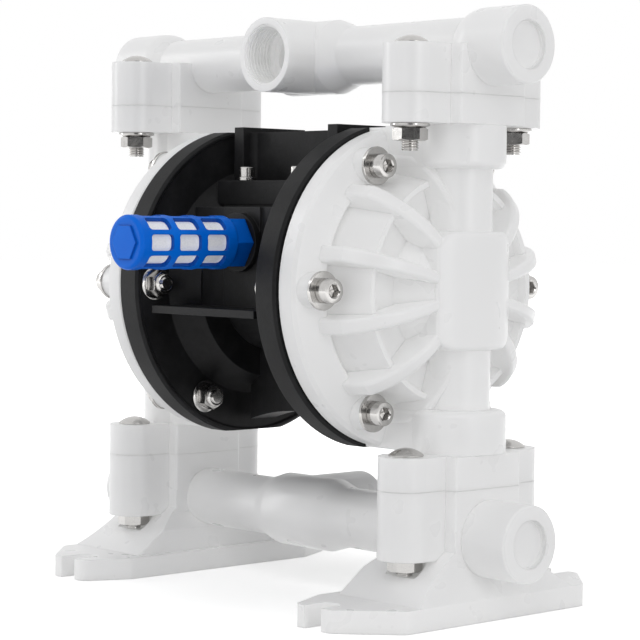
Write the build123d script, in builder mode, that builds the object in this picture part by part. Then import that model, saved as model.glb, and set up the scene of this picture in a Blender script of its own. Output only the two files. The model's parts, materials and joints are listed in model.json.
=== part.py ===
"""Air operated double diaphragm pump: two wet chambers on one shaft, with ball check valves.

Millimetres. X runs along the diaphragm shaft, -Y is the muffler side, +Z is up.
The origin is on the floor, midway between the two feet. Heights called "rise" are
measured from the shaft centreline, and everything right of the middle is mirrored left.
"""
from build123d import *
from math import asin, cos, radians, sin, sqrt
import os

os.makedirs("parts", exist_ok=True)

# ---- overall layout ----
shaft_height = 132.3          # shaft centreline above the floor
column_reach = 88.2           # valve column axis from the middle plane
flange_bolt_reach = 30.1      # manifold bolts either side of the column, along Y
fit_clearance = 0.05          # running fit between parts that move on each other
seat_clearance = 0.3          # gap left between nested curved walls

# ---- clamped rims ----
rim_flat_rise = 66.5          # flats cut on the top and bottom of every rim
cap_rim_radius = 68.5
cap_rim_thickness = 12.0
cap_face = 50.5               # outer face of the air cap, where the diaphragm is clamped
cap_recess_depth = 0.9        # shallow floor that the rim nuts sit on
cap_recess_radius = 66.5
cover_rim_radius = 67.3
cover_rim_thickness = 9.4
clamp_gap = 0.8               # air left between cap and cover once the bead is squeezed
bolt_circle_radius = 58.0
bolt_count = 6
blind_floor = 2.5                # the upper bolts are tapped into the air cap, and stop short of its face
bolt_boss_radius = 8.0
bolt_boss_height = 16.1       # from the cover's clamp face to the washer seat

# ---- air cap bowl ----
bowl_face = 27.0              # flat bottom of the bowl, against the centre body
bowl_floor_thickness = 4.0
bowl_base_radius = 50.0
bowl_face_radius = 42.0
chamber_mouth_radius = 47.6
chamber_floor_radius = 38.6
cap_screw_circle_radius = 22.0

# ---- shaft, plates and diaphragms ----
shaft_radius = 7.0
stud_radius = 5.0
plate_radius = 29.0
inner_plate_thickness = 6.0
outer_plate_thickness = 7.5
outer_plate_edge = 2.0
diaphragm_thickness = 3.0
diaphragm_radius = 54.0
convolution_height = 4.5
convolution_inner_radius = 31.5
convolution_outer_radius = 45.5
bush_radius = 9.0
bush_length = 14.0
seal_radius = 10.0
seal_width = 2.8
half_stroke = 5.0

# ---- fluid cover dome ----
ring_edge_radius = 53.6       # lip where the outer pockets start
ring_edge_rise = 13.7         # all dome heights are from the cover's clamp face
pocket_depth = 3.6
pocket_radius = 50.8
dome_ring_rise = 32.7
dome_ring_radius = 46.8
dome_ring_width = 2.4
dome_floor_rise = 29.2
dome_wall = 3.6
dome_side_wall = 5.4             # from the ring's outside to the wet chamber
chamber_side_rise = 9.0
chamber_draft = 0.6
rib_count = 12
rib_foot_thickness = 7.0        # each rib narrows from its foot to the hub
rib_hub_thickness = 4.4
rib_edge_fillet = 1.6
rib_foot_radius = 58.0
rib_shoulder_rise = 24.7
rib_shoulder_radius = 57.0
rib_foot_rise = 8.5
rib_bow_rise = 37.6              # point that the crest's curve passes through
rib_bow_radius = 46.6
rib_hub_sink = 0.6
rib_inner_step = 6.0             # how far a rib runs into the hub
rib_foot_slope = 1.5
hub_rise = 45.5
hub_radius = 21.5
hub_cone_radius = 31.0           # cone that rises from the floor to the hub
hub_cone_rise = 42.7
hub_half_width = 21.0
hub_half_height = 24.0
hub_corner = 8.0
hub_crest_rise = 51.2            # its face is bowed, and stands highest over the column
hub_bow_radius = 36.0
hub_face_fillet = 2.0

# ---- valve columns ----
column_radius = 12.75
column_bore_radius = 8.0
top_cup_radius = 18.0
bottom_cup_radius = 19.5
cup_length = 17.5
cup_edge_fillet = 3.0
shelf_half_width = 17.0
shelf_thickness = 17.0
flange_half_width = 17.25     # middle of each joint flange, along X
flange_half_depth = 19.0      # middle of each joint flange, along Y
flange_boss_radius = 11.4
flange_edge_fillet = 1.2
top_flange_underside = 67.0
top_parting = 79.0
bottom_flange_top = 66.0      # this and the next two are below the shaft
bottom_parting = 79.7

# ---- ball checks ----
ball_radius = 9.5
ball_lift = 5.0
cage_radius = 11.3
cage_roof = 1.2
seat_radius = 14.0
seat_bore_radius = 8.0
seat_thickness = 5.0
seal_ring_section = 0.95
seal_ring_groove = 2.2

# ---- discharge manifold ----
discharge_rise = 98.3
discharge_radius = 12.5
discharge_end_face = 124.0
discharge_boss_top = 98.7
end_boss_radius = 15.8
end_boss_length = 21.0
end_shoulder_length = 9.0
blind_port_radius = 9.8
blind_port_depth = 3.2
pipe_bore_radius = 9.0
tee_radius = 15.9
tee_half_width = 15.0
tee_shoulder_length = 10.0
tee_face = 30.3
port_bore_radius = 12.1
port_bore_depth = 16.3
port_mouth_radius = 12.9
port_mouth_depth = 0.8
ball_stop_radius = 2.6

# ---- suction manifold and feet ----
suction_drop = 100.0
suction_radius = 12.9
suction_end_face = 128.5
suction_boss_bottom = 107.6
foot_inner = 61.0
foot_outer = 112.0
foot_thickness = 9.2
foot_half_length = 73.0
foot_side_half_length = 52.0
foot_corner = 4.0
lobe_inner = 70.5
lobe_outer = 90.5
slot_centre = 80.5
slot_radius = 4.8
slot_length = 13.0
pedestal_inner = 65.5
pedestal_outer = 107.3
pedestal_top_drop = 96.0
pedestal_slope = 0.38            # how far down the pedestal its sides start to spread, as a share
pedestal_hollow = 0.4            # how far down its outer side the curve turns, as a share
pedestal_top_half_length = 30.5
pedestal_base_half_length = 45.0
nut_pocket_radius = 8.6
nut_pocket_depth = 9.0

# ---- centre body and air valve ----
body_half_length = 33.2
block_half_depth = 41.2
block_rise = 33.3
shelf_rib_top = 9.3           # below the shaft
shelf_rib_thickness = 3.2
shelf_rib_half_depth = 64.0
barrel_radius = 30.0
web_half_thickness = 7.4
web_bottom = 61.1
web_arch = 5.5
port_pad_half_width = 11.8
port_pad_height = 1.0
muffler_rise = 18.2
port_boss_radius = 12.6
port_boss_height = 3.1
muffler_port_radius = 8.0
muffler_port_depth = 12.0
air_inlet_radius = 5.9
air_inlet_depth = 14.0
gasket_thickness = 1.1
valve_plate_half_depth = 28.6
valve_plate_thickness = 10.4
valve_tower_top = 68.5
valve_tower_half_depth = 18.2
valve_tower_flange = 6.0
valve_tower_waist_half_depth = 12.0
valve_tower_waist_drop = 2.2
valve_tower_fillet = 3.0
valve_screw_reach_x = 16.6
valve_screw_reach_y = 25.0
valve_bore_rise = 55.5
valve_sleeve_radius = 8.0
spool_radius = 5.5
spool_waist_radius = 3.5
spool_waist_length = 10.0
spool_half_length = 24.0
end_plug_length = 5.0
pilot_rod_radius = 2.5
pilot_rod_offset = 16.0
pilot_rod_travel = 3.4
edge_round = 1.5

# ---- muffler ----
muffler_end = 104.4
muffler_radius = 11.3
muffler_wall = 2.0
muffler_hex_flats = 20.0
muffler_hex_length = 8.5
muffler_end_cap = 4.3
muffler_window_margin = 0.8    # from the inside of the end to the first window
muffler_window_length = 11.4
muffler_window_corner = 1.4
muffler_window_width = 6.6
muffler_window_pitch = 14.65
muffler_window_rows = 8
muffler_windows_along = 3
muffler_badge_flats = 13.5
muffler_badge_height = 0.8
element_wall = 3.0

# ---- fasteners ----
m6_radius = 3.0
m6_hole_radius = 3.3
cap_head_radius = 5.0
cap_head_height = 6.0
cap_head_chamfer = 0.6
cap_socket_flats = 5.0
cap_socket_depth = 3.0
washer_radius = 7.9
washer_thickness = 1.6
nut_flats = 10.0
nut_height = 5.0
nut_flange_radius = 7.2
nut_flange_height = 1.5
nut_collar_radius = 4.3       # the locking ring at the end of the nut
nut_collar_height = 1.8
m6_tail = 1.6                 # thread standing out past a nut
flange_bolt_radius = 3.5      # the manifold bolts are heavier than those of the rims
flange_hole_radius = 3.8
dome_head_radius = 7.2
dome_head_height = 3.3
flange_nut_flats = 12.4
flange_nut_height = 5.2
flange_nut_rim_radius = 8.0
flange_nut_rim_height = 1.8
flange_bolt_tail = 4.0
foot_nut_height = 4.9
foot_bolt_tail = 1.6
m4_radius = 2.0
m4_head_radius = 3.5
m4_head_height = 4.4
m4_washer_radius = 4.0
m4_washer_thickness = 1.5
m4_depth = 14.0

# ---- worked out from the sizes above ----
shaft_axis = Axis((0, 0, shaft_height), (1, 0, 0))
profile = Plane((0, 0, shaft_height), x_dir=(1, 0, 0), z_dir=(0, -1, 0))
cover_face = cap_face + clamp_gap
cap_rim_inner = cap_face - cap_rim_thickness
nut_seat = cap_rim_inner + cap_recess_depth
washer_seat = cover_face + bolt_boss_height
bead_face = cap_face + diaphragm_thickness
shaft_shoulder = cap_face - inner_plate_thickness
bowl_floor = bowl_face + bowl_floor_thickness
ball_rise = sqrt((ball_radius + seat_clearance) ** 2 - seat_bore_radius**2)
suction_seat_top = -bottom_parting + seat_thickness
suction_cage_top = suction_seat_top + 2 * ball_rise + ball_lift
suction_ball_rise = suction_seat_top + ball_rise
discharge_ball_rise = top_parting + ball_rise
ball_stop_rise = discharge_ball_rise + ball_lift + ball_radius + seat_clearance
hub_base = cover_face + dome_floor_rise - 1
hub_crest = cover_face + hub_crest_rise
rib_foot = cover_face + rib_foot_rise
rib_shoulder = cover_face + rib_shoulder_rise
rib_end = cover_face + hub_rise - rib_hub_sink
rib_end_radius = hub_radius + rib_inner_step / 2
rib_inner_radius = hub_radius - rib_inner_step
block_bottom = -shelf_rib_top - shelf_rib_thickness
valve_plate_bottom = block_rise + gasket_thickness
valve_plate_top = valve_plate_bottom + valve_plate_thickness
pilot_rod_half_length = shaft_shoulder - half_stroke - pilot_rod_travel - 2 * fit_clearance
bolt_spots = [
    (bolt_circle_radius * cos(turn), bolt_circle_radius * sin(turn))
    for turn in (radians(360 * number / bolt_count) for number in range(bolt_count))
]
through_spots = [spot for spot in bolt_spots if spot[1] < bolt_circle_radius / 2]
tapped_spots = [spot for spot in bolt_spots if spot not in through_spots]
tapped_depth = cap_rim_thickness - blind_floor
port_face = block_half_depth + port_pad_height
muffler_face = port_face + port_boss_height
column_spots = [(side * column_reach, 0) for side in (-1, 1)]
manifold_bolt_spots = [(x, s * flange_bolt_reach) for x, y in column_spots for s in (-1, 1)]
valve_screw_spots = [
    (sx * valve_screw_reach_x, sy * valve_screw_reach_y) for sx in (-1, 1) for sy in (-1, 1)
]


def level(rise):
    """Horizontal plane at a height above the shaft centreline."""
    return Plane.XY.offset(shaft_height + rise)


def facing_x(x, y=0.0, rise=0.0):
    """Plane that faces out along +X, with its own x along Y and its own y up."""
    return Plane((x, y, shaft_height + rise), x_dir=(0, 1, 0), z_dir=(1, 0, 0))


def facing_y(y, side, x=0.0, rise=0.0):
    """Plane that faces along Y, towards the muffler for side -1 and the rear for side 1."""
    return Plane((x, y, shaft_height + rise), x_dir=(-side, 0, 0), z_dir=(0, side, 0))


def save(built, name):
    built.part.label = name
    export_step(built.part, f"parts/{name}.step")


def save_pair(right, name):
    """Write a right-hand piece and its mirror image on the left."""
    save(right, f"{name}_right")
    with BuildPart() as left:
        mirror(right.part, about=Plane.YZ)
    save(left, f"{name}_left")


def bowl_solid(margin):
    """The air cap's bowl seen from the centre body, grown by a margin."""
    with BuildPart() as bowl:
        with BuildSketch(profile):
            with BuildLine():
                Polyline(
                    (bowl_face, 0),
                    (bowl_face, bowl_face_radius + margin),
                    (nut_seat, bowl_base_radius + margin),
                    (nut_seat, 0),
                    close=True,
                )
            make_face()
        revolve(axis=shaft_axis)
    return bowl.part


# ---------------------------------------------------------------- fasteners
def cap_screw(grip):
    """Socket cap screw: head above the XY plane, shank below it."""
    with BuildPart() as screw:
        with BuildSketch():
            Circle(cap_head_radius)
        extrude(amount=cap_head_height)
        chamfer(screw.edges().group_by(Axis.Z)[-1], cap_head_chamfer)
        with BuildSketch(Plane.XY.offset(cap_head_height)):
            RegularPolygon(cap_socket_flats / 2, 6, major_radius=False)
        extrude(amount=-cap_socket_depth, mode=Mode.SUBTRACT)
        with BuildSketch():
            Circle(m6_radius)
        extrude(amount=-grip)
    return screw.part


def hex_nut(hole_radius, flats, height, rim_radius=0.0, rim_height=0.0, collar_height=0.0):
    """Nut seated on the XY plane, with a flange below and a locking ring above where asked for."""
    with BuildPart() as nut:
        if rim_height:
            with BuildSketch():
                Circle(rim_radius)
                Circle(hole_radius, mode=Mode.SUBTRACT)
            extrude(amount=rim_height)
        with BuildSketch(Plane.XY.offset(rim_height)):
            RegularPolygon(flats / 2, 6, major_radius=False)
            Circle(hole_radius, mode=Mode.SUBTRACT)
        extrude(amount=height)
        if collar_height:
            with BuildSketch(Plane.XY.offset(rim_height + height)):
                Circle(nut_collar_radius)
                Circle(hole_radius, mode=Mode.SUBTRACT)
            extrude(amount=collar_height)
    return nut.part


rim_nut = hex_nut(
    m6_radius, nut_flats, nut_height,
    nut_flange_radius, nut_flange_height, nut_collar_height,
)
top_nut = hex_nut(
    flange_bolt_radius, flange_nut_flats, flange_nut_height,
    flange_nut_rim_radius, flange_nut_rim_height,
)
foot_nut = hex_nut(flange_bolt_radius, flange_nut_flats, foot_nut_height)

with BuildPart() as washer:
    with BuildSketch():
        Circle(washer_radius)
        Circle(m6_radius, mode=Mode.SUBTRACT)
    extrude(amount=washer_thickness)


def cap_middle(radius, height):
    """Point half way round the arc of a spherical cap, from its edge to its crown."""
    sphere_radius = (radius**2 + height**2) / (2 * height)
    half_angle = asin(radius / sphere_radius) / 2
    return sphere_radius * sin(half_angle), height - sphere_radius * (1 - cos(half_angle))


def dome_screw(grip):
    """Round-headed screw: head above the XY plane, shank below it."""
    with BuildPart() as screw:
        with BuildSketch(Plane.XZ):
            with BuildLine():
                Line((0, 0), (dome_head_radius, 0))
                ThreePointArc(
                    (dome_head_radius, 0),
                    cap_middle(dome_head_radius, dome_head_height),
                    (0, dome_head_height),
                )
                Line((0, dome_head_height), (0, 0))
            make_face()
        revolve(axis=Axis.Z)
        with BuildSketch():
            Circle(flange_bolt_radius)
        extrude(amount=-grip)
    return screw.part


head_plane = facing_x(washer_seat + washer_thickness)
through_grip = (
    washer_thickness + washer_seat - nut_seat
    + nut_flange_height + nut_height + nut_collar_height + m6_tail
)
tapped_grip = washer_thickness + washer_seat - cap_face + tapped_depth - seat_clearance
with BuildPart() as cover_screws:
    with Locations(head_plane):
        with Locations(*through_spots):
            add(cap_screw(through_grip))
        with Locations(*tapped_spots):
            add(cap_screw(tapped_grip))
save_pair(cover_screws, "cover_screws")

with BuildPart() as cover_washers:
    with Locations(facing_x(washer_seat)):
        with Locations(*bolt_spots):
            add(washer.part)
save_pair(cover_washers, "cover_washers")

# this plane faces the other way, so up on the pump is down on it
nut_plane = Plane((nut_seat, 0, shaft_height), x_dir=(0, 1, 0), z_dir=(-1, 0, 0))
with BuildPart() as cover_nuts:
    with Locations(nut_plane):
        with Locations(*[(y, -rise) for y, rise in through_spots]):
            add(rim_nut)
save_pair(cover_nuts, "cover_nuts")

top_grip = (
    discharge_boss_top - top_flange_underside
    + flange_nut_rim_height + flange_nut_height + flange_bolt_tail
)
bottom_grip = suction_boss_bottom - bottom_flange_top + foot_nut_height + foot_bolt_tail
screw_rows = {
    "discharge_screws": (level(discharge_boss_top), dome_screw(top_grip)),
    "suction_screws": (level(-bottom_flange_top), dome_screw(bottom_grip)),
    "discharge_nuts": (
        Plane((0, 0, shaft_height + top_flange_underside), z_dir=(0, 0, -1)), top_nut
    ),
    "suction_nuts": (
        Plane((0, 0, shaft_height - suction_boss_bottom), z_dir=(0, 0, -1)), foot_nut
    ),
}
for name, (plane, piece) in screw_rows.items():
    with BuildPart() as row:
        with Locations(plane):
            with Locations(*manifold_bolt_spots):
                add(piece)
    save(row, name)


# ---------------------------------------------------------------- air caps
with BuildPart() as air_cap:
    with BuildSketch(profile):
        with BuildLine():
            Polyline(
                (cap_face, chamber_mouth_radius),
                (cap_face, cap_rim_radius - 1),
                (cap_face - 1, cap_rim_radius),
                (cap_rim_inner + 1, cap_rim_radius),
                (cap_rim_inner, cap_rim_radius - 1),
                (cap_rim_inner, cap_recess_radius),
                (nut_seat, cap_recess_radius - cap_recess_depth),
                (nut_seat, bowl_base_radius),
                (bowl_face, bowl_face_radius),
                (bowl_face, shaft_radius + seat_clearance),
                (bowl_floor, shaft_radius + seat_clearance),
                (bowl_floor, chamber_floor_radius),
                close=True,
            )
        make_face()
    revolve(axis=shaft_axis)
    # seal pocket in the chamber floor
    with BuildSketch(facing_x(bowl_floor)):
        Circle(seal_radius)
    extrude(amount=-seal_width, mode=Mode.SUBTRACT)
    # flats on the top and bottom of the rim
    with BuildSketch(facing_x(cap_face)):
        for side in (-1, 1):
            with Locations((0, side * (rim_flat_rise + cap_rim_radius))):
                Rectangle(2 * cap_rim_radius, 2 * cap_rim_radius)
    extrude(amount=-cap_rim_thickness, mode=Mode.SUBTRACT)
    with BuildSketch(facing_x(cap_face)):
        with Locations(*through_spots):
            Circle(m6_hole_radius)
    extrude(amount=-cap_rim_thickness, mode=Mode.SUBTRACT)
    with BuildSketch(facing_x(cap_face)):
        with Locations(*tapped_spots):
            Circle(m6_radius)
    extrude(amount=-tapped_depth, mode=Mode.SUBTRACT)
    with BuildSketch(facing_x(bowl_floor)):
        with PolarLocations(cap_screw_circle_radius, 4, start_angle=45):
            Circle(m4_radius)
        with Locations((0, -pilot_rod_offset)):
            Circle(pilot_rod_radius + fit_clearance)
    extrude(amount=-bowl_floor_thickness, mode=Mode.SUBTRACT)
save_pair(air_cap, "air_cap")

with BuildPart() as air_cap_screws:
    # button screws inside the air chamber, holding the cap to the centre body
    with Locations(facing_x(bowl_floor)):
        with PolarLocations(cap_screw_circle_radius, 4, start_angle=45):
            with Locations((0, 0, m4_head_height / 4)):
                Cylinder(m4_head_radius, m4_head_height / 2)
            with Locations((0, 0, -m4_depth / 2)):
                Cylinder(m4_radius, m4_depth)
save_pair(air_cap_screws, "air_cap_screws")

with BuildPart() as shaft_seal:
    with BuildSketch(facing_x(bowl_floor)):
        Circle(seal_radius)
        Circle(shaft_radius + fit_clearance, mode=Mode.SUBTRACT)
    extrude(amount=-seal_width)
save_pair(shaft_seal, "shaft_seal")


# ---------------------------------------------------------------- moving assembly
with BuildPart() as main_shaft:
    with BuildSketch(facing_x(-shaft_shoulder)):
        Circle(shaft_radius)
    extrude(amount=2 * shaft_shoulder)
    stud_end = bead_face + outer_plate_thickness - 2
    with BuildSketch(facing_x(-stud_end)):
        Circle(stud_radius)
    extrude(amount=2 * stud_end)
save(main_shaft, "main_shaft")

with BuildPart() as inner_plate:
    with BuildSketch(profile):
        with BuildLine():
            Polyline(
                (cap_face, stud_radius),
                (cap_face, plate_radius),
                (cap_face - inner_plate_thickness / 3, plate_radius),
                (shaft_shoulder, plate_radius * 0.6),
                (shaft_shoulder, stud_radius),
                close=True,
            )
        make_face()
    revolve(axis=shaft_axis)
save_pair(inner_plate, "inner_plate")

with BuildPart() as outer_plate:
    with BuildSketch(profile):
        with BuildLine():
            Line((bead_face, 0), (bead_face, plate_radius))
            Line((bead_face, plate_radius), (bead_face + outer_plate_edge, plate_radius))
            middle_radius, middle_rise = cap_middle(
                plate_radius, outer_plate_thickness - outer_plate_edge
            )
            ThreePointArc(
                (bead_face + outer_plate_edge, plate_radius),
                (bead_face + outer_plate_edge + middle_rise, middle_radius),
                (bead_face + outer_plate_thickness, 0),
            )
            Line((bead_face + outer_plate_thickness, 0), (bead_face, 0))
        make_face()
    revolve(axis=shaft_axis)
    with BuildSketch(facing_x(bead_face)):
        Circle(stud_radius)
    extrude(amount=stud_end - bead_face, mode=Mode.SUBTRACT)
save_pair(outer_plate, "outer_plate")

with BuildPart() as diaphragm:
    convolution_middle = (convolution_inner_radius + convolution_outer_radius) / 2
    with BuildSketch(profile):
        with BuildLine():
            Polyline(
                (cap_face, convolution_inner_radius),
                (cap_face, stud_radius + fit_clearance),
                (bead_face, stud_radius + fit_clearance),
                (bead_face, convolution_inner_radius),
            )
            ThreePointArc(
                (bead_face, convolution_inner_radius),
                (bead_face + convolution_height, convolution_middle),
                (bead_face, convolution_outer_radius),
            )
            Polyline(
                (bead_face, convolution_outer_radius),
                (bead_face, diaphragm_radius),
                (cap_face, diaphragm_radius),
                (cap_face, convolution_outer_radius),
            )
            ThreePointArc(
                (cap_face, convolution_outer_radius),
                (cap_face + convolution_height, convolution_middle),
                (cap_face, convolution_inner_radius),
            )
        make_face()
    revolve(axis=shaft_axis)
save_pair(diaphragm, "diaphragm")


# ---------------------------------------------------------------- fluid covers
def joint_flange(bottom, top):
    """One joint flange on the right column: a square middle with a bolt boss each side."""
    with BuildPart() as flange:
        with BuildSketch(level(bottom)):
            with Locations((column_reach, 0)):
                Rectangle(2 * flange_half_width, 2 * flange_half_depth)
                Rectangle(2 * flange_boss_radius, 2 * flange_bolt_reach)
            with Locations(*[(column_reach, s * flange_bolt_reach) for s in (-1, 1)]):
                Circle(flange_boss_radius)
        extrude(amount=top - bottom)
        corners = flange.edges().filter_by(Axis.Z).filter_by(
            lambda edge: abs(abs(edge.center().X - column_reach) - flange_half_width) < 0.01
        )
        fillet(corners, flange_edge_fillet)
    return flange.part


with BuildPart() as rib:
    # one radial rib, standing up from the shaft axis
    with BuildSketch(profile):
        with BuildLine():
            Line((rib_foot - rib_foot_slope, dome_ring_radius), (rib_foot, rib_foot_radius))
            Line((rib_foot, rib_foot_radius), (rib_shoulder, rib_shoulder_radius))
            ThreePointArc(
                (rib_shoulder, rib_shoulder_radius),
                (cover_face + rib_bow_rise, rib_bow_radius),
                (rib_end, rib_end_radius),
            )
            Polyline(
                (rib_end, rib_end_radius),
                (rib_end, rib_inner_radius),
                (hub_base, rib_inner_radius),
                (hub_base, dome_ring_radius - 2 * dome_ring_width),
                (rib_foot - rib_foot_slope, dome_ring_radius),
            )
        make_face()
    extrude(amount=rib_foot_thickness, both=True)
    # seen from the end of the pump, the rib narrows towards the hub
    with BuildSketch(facing_x(cover_face)):
        with BuildLine():
            Polyline(
                (-rib_hub_thickness / 2, rib_inner_radius),
                (-rib_foot_thickness / 2, rib_foot_radius),
                (rib_foot_thickness / 2, rib_foot_radius),
                (rib_hub_thickness / 2, rib_inner_radius),
                close=True,
            )
        make_face()
    extrude(amount=hub_rise, mode=Mode.INTERSECT)
    crest = [
        edge
        for edge in rib.edges()
        if abs(edge.center().Y) > rib_hub_thickness / 4
        and edge.center().Z > shaft_height + 0.45 * rib_foot_radius
        and edge.center().X > rib_foot - rib_foot_slope / 2
    ]
    fillet(crest, rib_edge_fillet)

with BuildPart() as hub:
    # square boss with round corners, its face bowed about a vertical axis
    with BuildSketch(facing_x(hub_base)):
        RectangleRounded(2 * hub_half_width, 2 * hub_half_height, hub_corner)
    extrude(amount=hub_crest - hub_base)
    with BuildSketch(level(-hub_half_height)):
        with Locations((hub_crest - hub_bow_radius, 0)):
            Circle(hub_bow_radius)
    extrude(amount=2 * hub_half_height, mode=Mode.INTERSECT)
    face_edges = hub.edges().filter_by(lambda edge: edge.center().X > cover_face + hub_cone_rise)
    fillet(face_edges, hub_face_fillet)

with BuildPart() as fluid_cover:
    # rim plate, raised lip, side wall and floor of the dome
    with BuildSketch(profile):
        with BuildLine():
            Polyline(
                (cover_face, 0),
                (cover_face, cover_rim_radius - 1),
                (cover_face + 1, cover_rim_radius),
                (cover_face + cover_rim_thickness - 1.5, cover_rim_radius),
                (cover_face + cover_rim_thickness, cover_rim_radius - 1.5),
                (cover_face + ring_edge_rise, ring_edge_radius + 1),
                (cover_face + ring_edge_rise, ring_edge_radius),
                (cover_face + ring_edge_rise - pocket_depth, pocket_radius),
                (cover_face + dome_ring_rise, dome_ring_radius),
                (cover_face + dome_ring_rise, dome_ring_radius - dome_ring_width),
                (cover_face + dome_floor_rise, dome_ring_radius - dome_ring_width - 1),
                (cover_face + dome_floor_rise, hub_cone_radius),
                (cover_face + hub_cone_rise, hub_radius),
                (cover_face + hub_cone_rise, 0),
                close=True,
            )
        make_face()
    revolve(axis=shaft_axis)
    for turn in range(rib_count):
        add(rib.part.rotate(shaft_axis, (turn + 0.5) * 360 / rib_count))
    add(hub.part)
    # bolt bosses
    with BuildSketch(facing_x(cover_face + 1)):
        with PolarLocations(bolt_circle_radius, bolt_count):
            Circle(bolt_boss_radius)
    extrude(amount=bolt_boss_height - 1, taper=3)
    # shelves that tie the rim to the cups
    for low, high in (
        (top_flange_underside - shelf_thickness, top_flange_underside),
        (-bottom_flange_top, -bottom_flange_top + shelf_thickness),
    ):
        with BuildSketch(level(low)):
            with Locations(((cover_face + column_reach) / 2, 0)):
                Rectangle(column_reach - cover_face, 2 * shelf_half_width)
        extrude(amount=high - low)
    # flats on the rim, level with those of the air cap
    with BuildSketch(facing_x(cover_face)):
        for side in (-1, 1):
            with Locations((0, side * (rim_flat_rise + cover_rim_radius))):
                Rectangle(2 * cover_rim_radius, 2 * cover_rim_radius)
    extrude(amount=cover_rim_thickness, mode=Mode.SUBTRACT)
    # valve column with a cup at each end
    with BuildSketch(level(-bottom_flange_top)):
        with Locations((column_reach, 0)):
            Circle(column_radius)
    extrude(amount=bottom_flange_top + top_flange_underside)
    for cup_radius, end, inward in (
        (top_cup_radius, top_flange_underside, -1),
        (bottom_cup_radius, -bottom_flange_top, 1),
    ):
        column_profile = Plane(
            (column_reach, 0, shaft_height + end), x_dir=(1, 0, 0), z_dir=(0, -1, 0)
        )
        edge = cup_edge_fillet
        shoulder = inward * (cup_length - edge)
        with BuildSketch(column_profile):
            with BuildLine():
                Line((0, 0), (cup_radius, 0))
                Line((cup_radius, 0), (cup_radius, shoulder))
                RadiusArc(
                    (cup_radius, shoulder),
                    (cup_radius - edge, inward * cup_length),
                    inward * -edge,
                )
                Line((cup_radius - edge, inward * cup_length), (0, inward * cup_length))
                Line((0, inward * cup_length), (0, 0))
            make_face()
        revolve(axis=Axis((column_reach, 0, 0), (0, 0, 1)))
    add(joint_flange(top_flange_underside, top_parting))
    add(joint_flange(-bottom_parting, -bottom_flange_top))
    # wet chamber and the seat of the diaphragm bead
    with BuildSketch(profile):
        with BuildLine():
            Polyline(
                (cover_face, 0),
                (cover_face, diaphragm_radius + 0.2),
                (bead_face, diaphragm_radius + 0.2),
                (bead_face, chamber_mouth_radius),
                (cover_face + chamber_side_rise, chamber_mouth_radius - chamber_draft),
                (cover_face + dome_floor_rise - dome_wall, dome_ring_radius - dome_side_wall),
                (cover_face + dome_floor_rise - dome_wall, 0),
                close=True,
            )
        make_face()
    revolve(axis=shaft_axis, mode=Mode.SUBTRACT)
    # passage from the chamber into the column, and the column bore
    with BuildSketch(facing_x(cover_face + dome_floor_rise - dome_wall - 1)):
        Circle(column_bore_radius)
    extrude(amount=column_reach - cover_face - dome_floor_rise + dome_wall + 1, mode=Mode.SUBTRACT)
    with BuildSketch(level(suction_cage_top - 1)):
        with Locations((column_reach, 0)):
            Circle(column_bore_radius)
    extrude(amount=top_parting - suction_cage_top + 2, mode=Mode.SUBTRACT)
    # ball cage and seat pockets
    with BuildSketch(level(-bottom_parting)):
        with Locations((column_reach, 0)):
            Circle(cage_radius)
    extrude(amount=bottom_parting + suction_cage_top, mode=Mode.SUBTRACT)
    for rise, up in ((-bottom_parting, 1), (top_parting, -1)):
        with BuildSketch(level(rise)):
            with Locations((column_reach, 0)):
                Circle(seat_radius + fit_clearance)
        extrude(amount=up * seat_thickness, mode=Mode.SUBTRACT)
    # bolt holes
    with BuildSketch(facing_x(cover_face)):
        with PolarLocations(bolt_circle_radius, bolt_count):
            Circle(m6_hole_radius)
    extrude(amount=bolt_boss_height, mode=Mode.SUBTRACT)
    with BuildSketch(level(-bottom_parting)):
        with Locations(*[(column_reach, s * flange_bolt_reach) for s in (-1, 1)]):
            Circle(flange_hole_radius)
    extrude(amount=bottom_parting - bottom_flange_top, mode=Mode.SUBTRACT)
    with BuildSketch(level(top_flange_underside)):
        with Locations(*[(column_reach, s * flange_bolt_reach) for s in (-1, 1)]):
            Circle(flange_hole_radius)
    extrude(amount=top_parting - top_flange_underside, mode=Mode.SUBTRACT)
save_pair(fluid_cover, "fluid_cover")


# ---------------------------------------------------------------- ball checks
checks = {
    "discharge_left": (-1, top_parting - seat_thickness, discharge_ball_rise),
    "discharge_right": (1, top_parting - seat_thickness, discharge_ball_rise),
    "suction_left": (-1, -bottom_parting, suction_ball_rise),
    "suction_right": (1, -bottom_parting, suction_ball_rise),
}
with BuildPart() as ball_seats:
    for side, seat_rise, ball_centre in checks.values():
        with BuildSketch(level(seat_rise)):
            with Locations((side * column_reach, 0)):
                Circle(seat_radius)
                Circle(seat_bore_radius, mode=Mode.SUBTRACT)
        extrude(amount=seat_thickness)
        groove_middle = Plane(
            (side * column_reach, 0, shaft_height + seat_rise + seat_thickness / 2),
            x_dir=(1, 0, 0), z_dir=(0, 0, 1),
        )
        with BuildSketch(groove_middle.offset(-seal_ring_groove / 2)):
            Circle(seat_radius + 1)
            Circle(seat_radius - 2 * seal_ring_section + fit_clearance, mode=Mode.SUBTRACT)
        extrude(amount=seal_ring_groove, mode=Mode.SUBTRACT)
save(ball_seats, "ball_seats")

with BuildPart() as seat_seals:
    for side, seat_rise, ball_centre in checks.values():
        seal_middle = Plane(
            (side * column_reach, 0, shaft_height + seat_rise + seat_thickness / 2),
            x_dir=(1, 0, 0), z_dir=(0, 0, 1),
        )
        with Locations(seal_middle):
            Torus(seat_radius - seal_ring_section + fit_clearance, seal_ring_section)
save(seat_seals, "seat_seals")

for name, (side, seat_rise, ball_centre) in checks.items():
    with BuildPart() as ball:
        with Locations((side * column_reach, 0, shaft_height + ball_centre)):
            Sphere(ball_radius)
    save(ball, f"ball_{name}")


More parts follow.
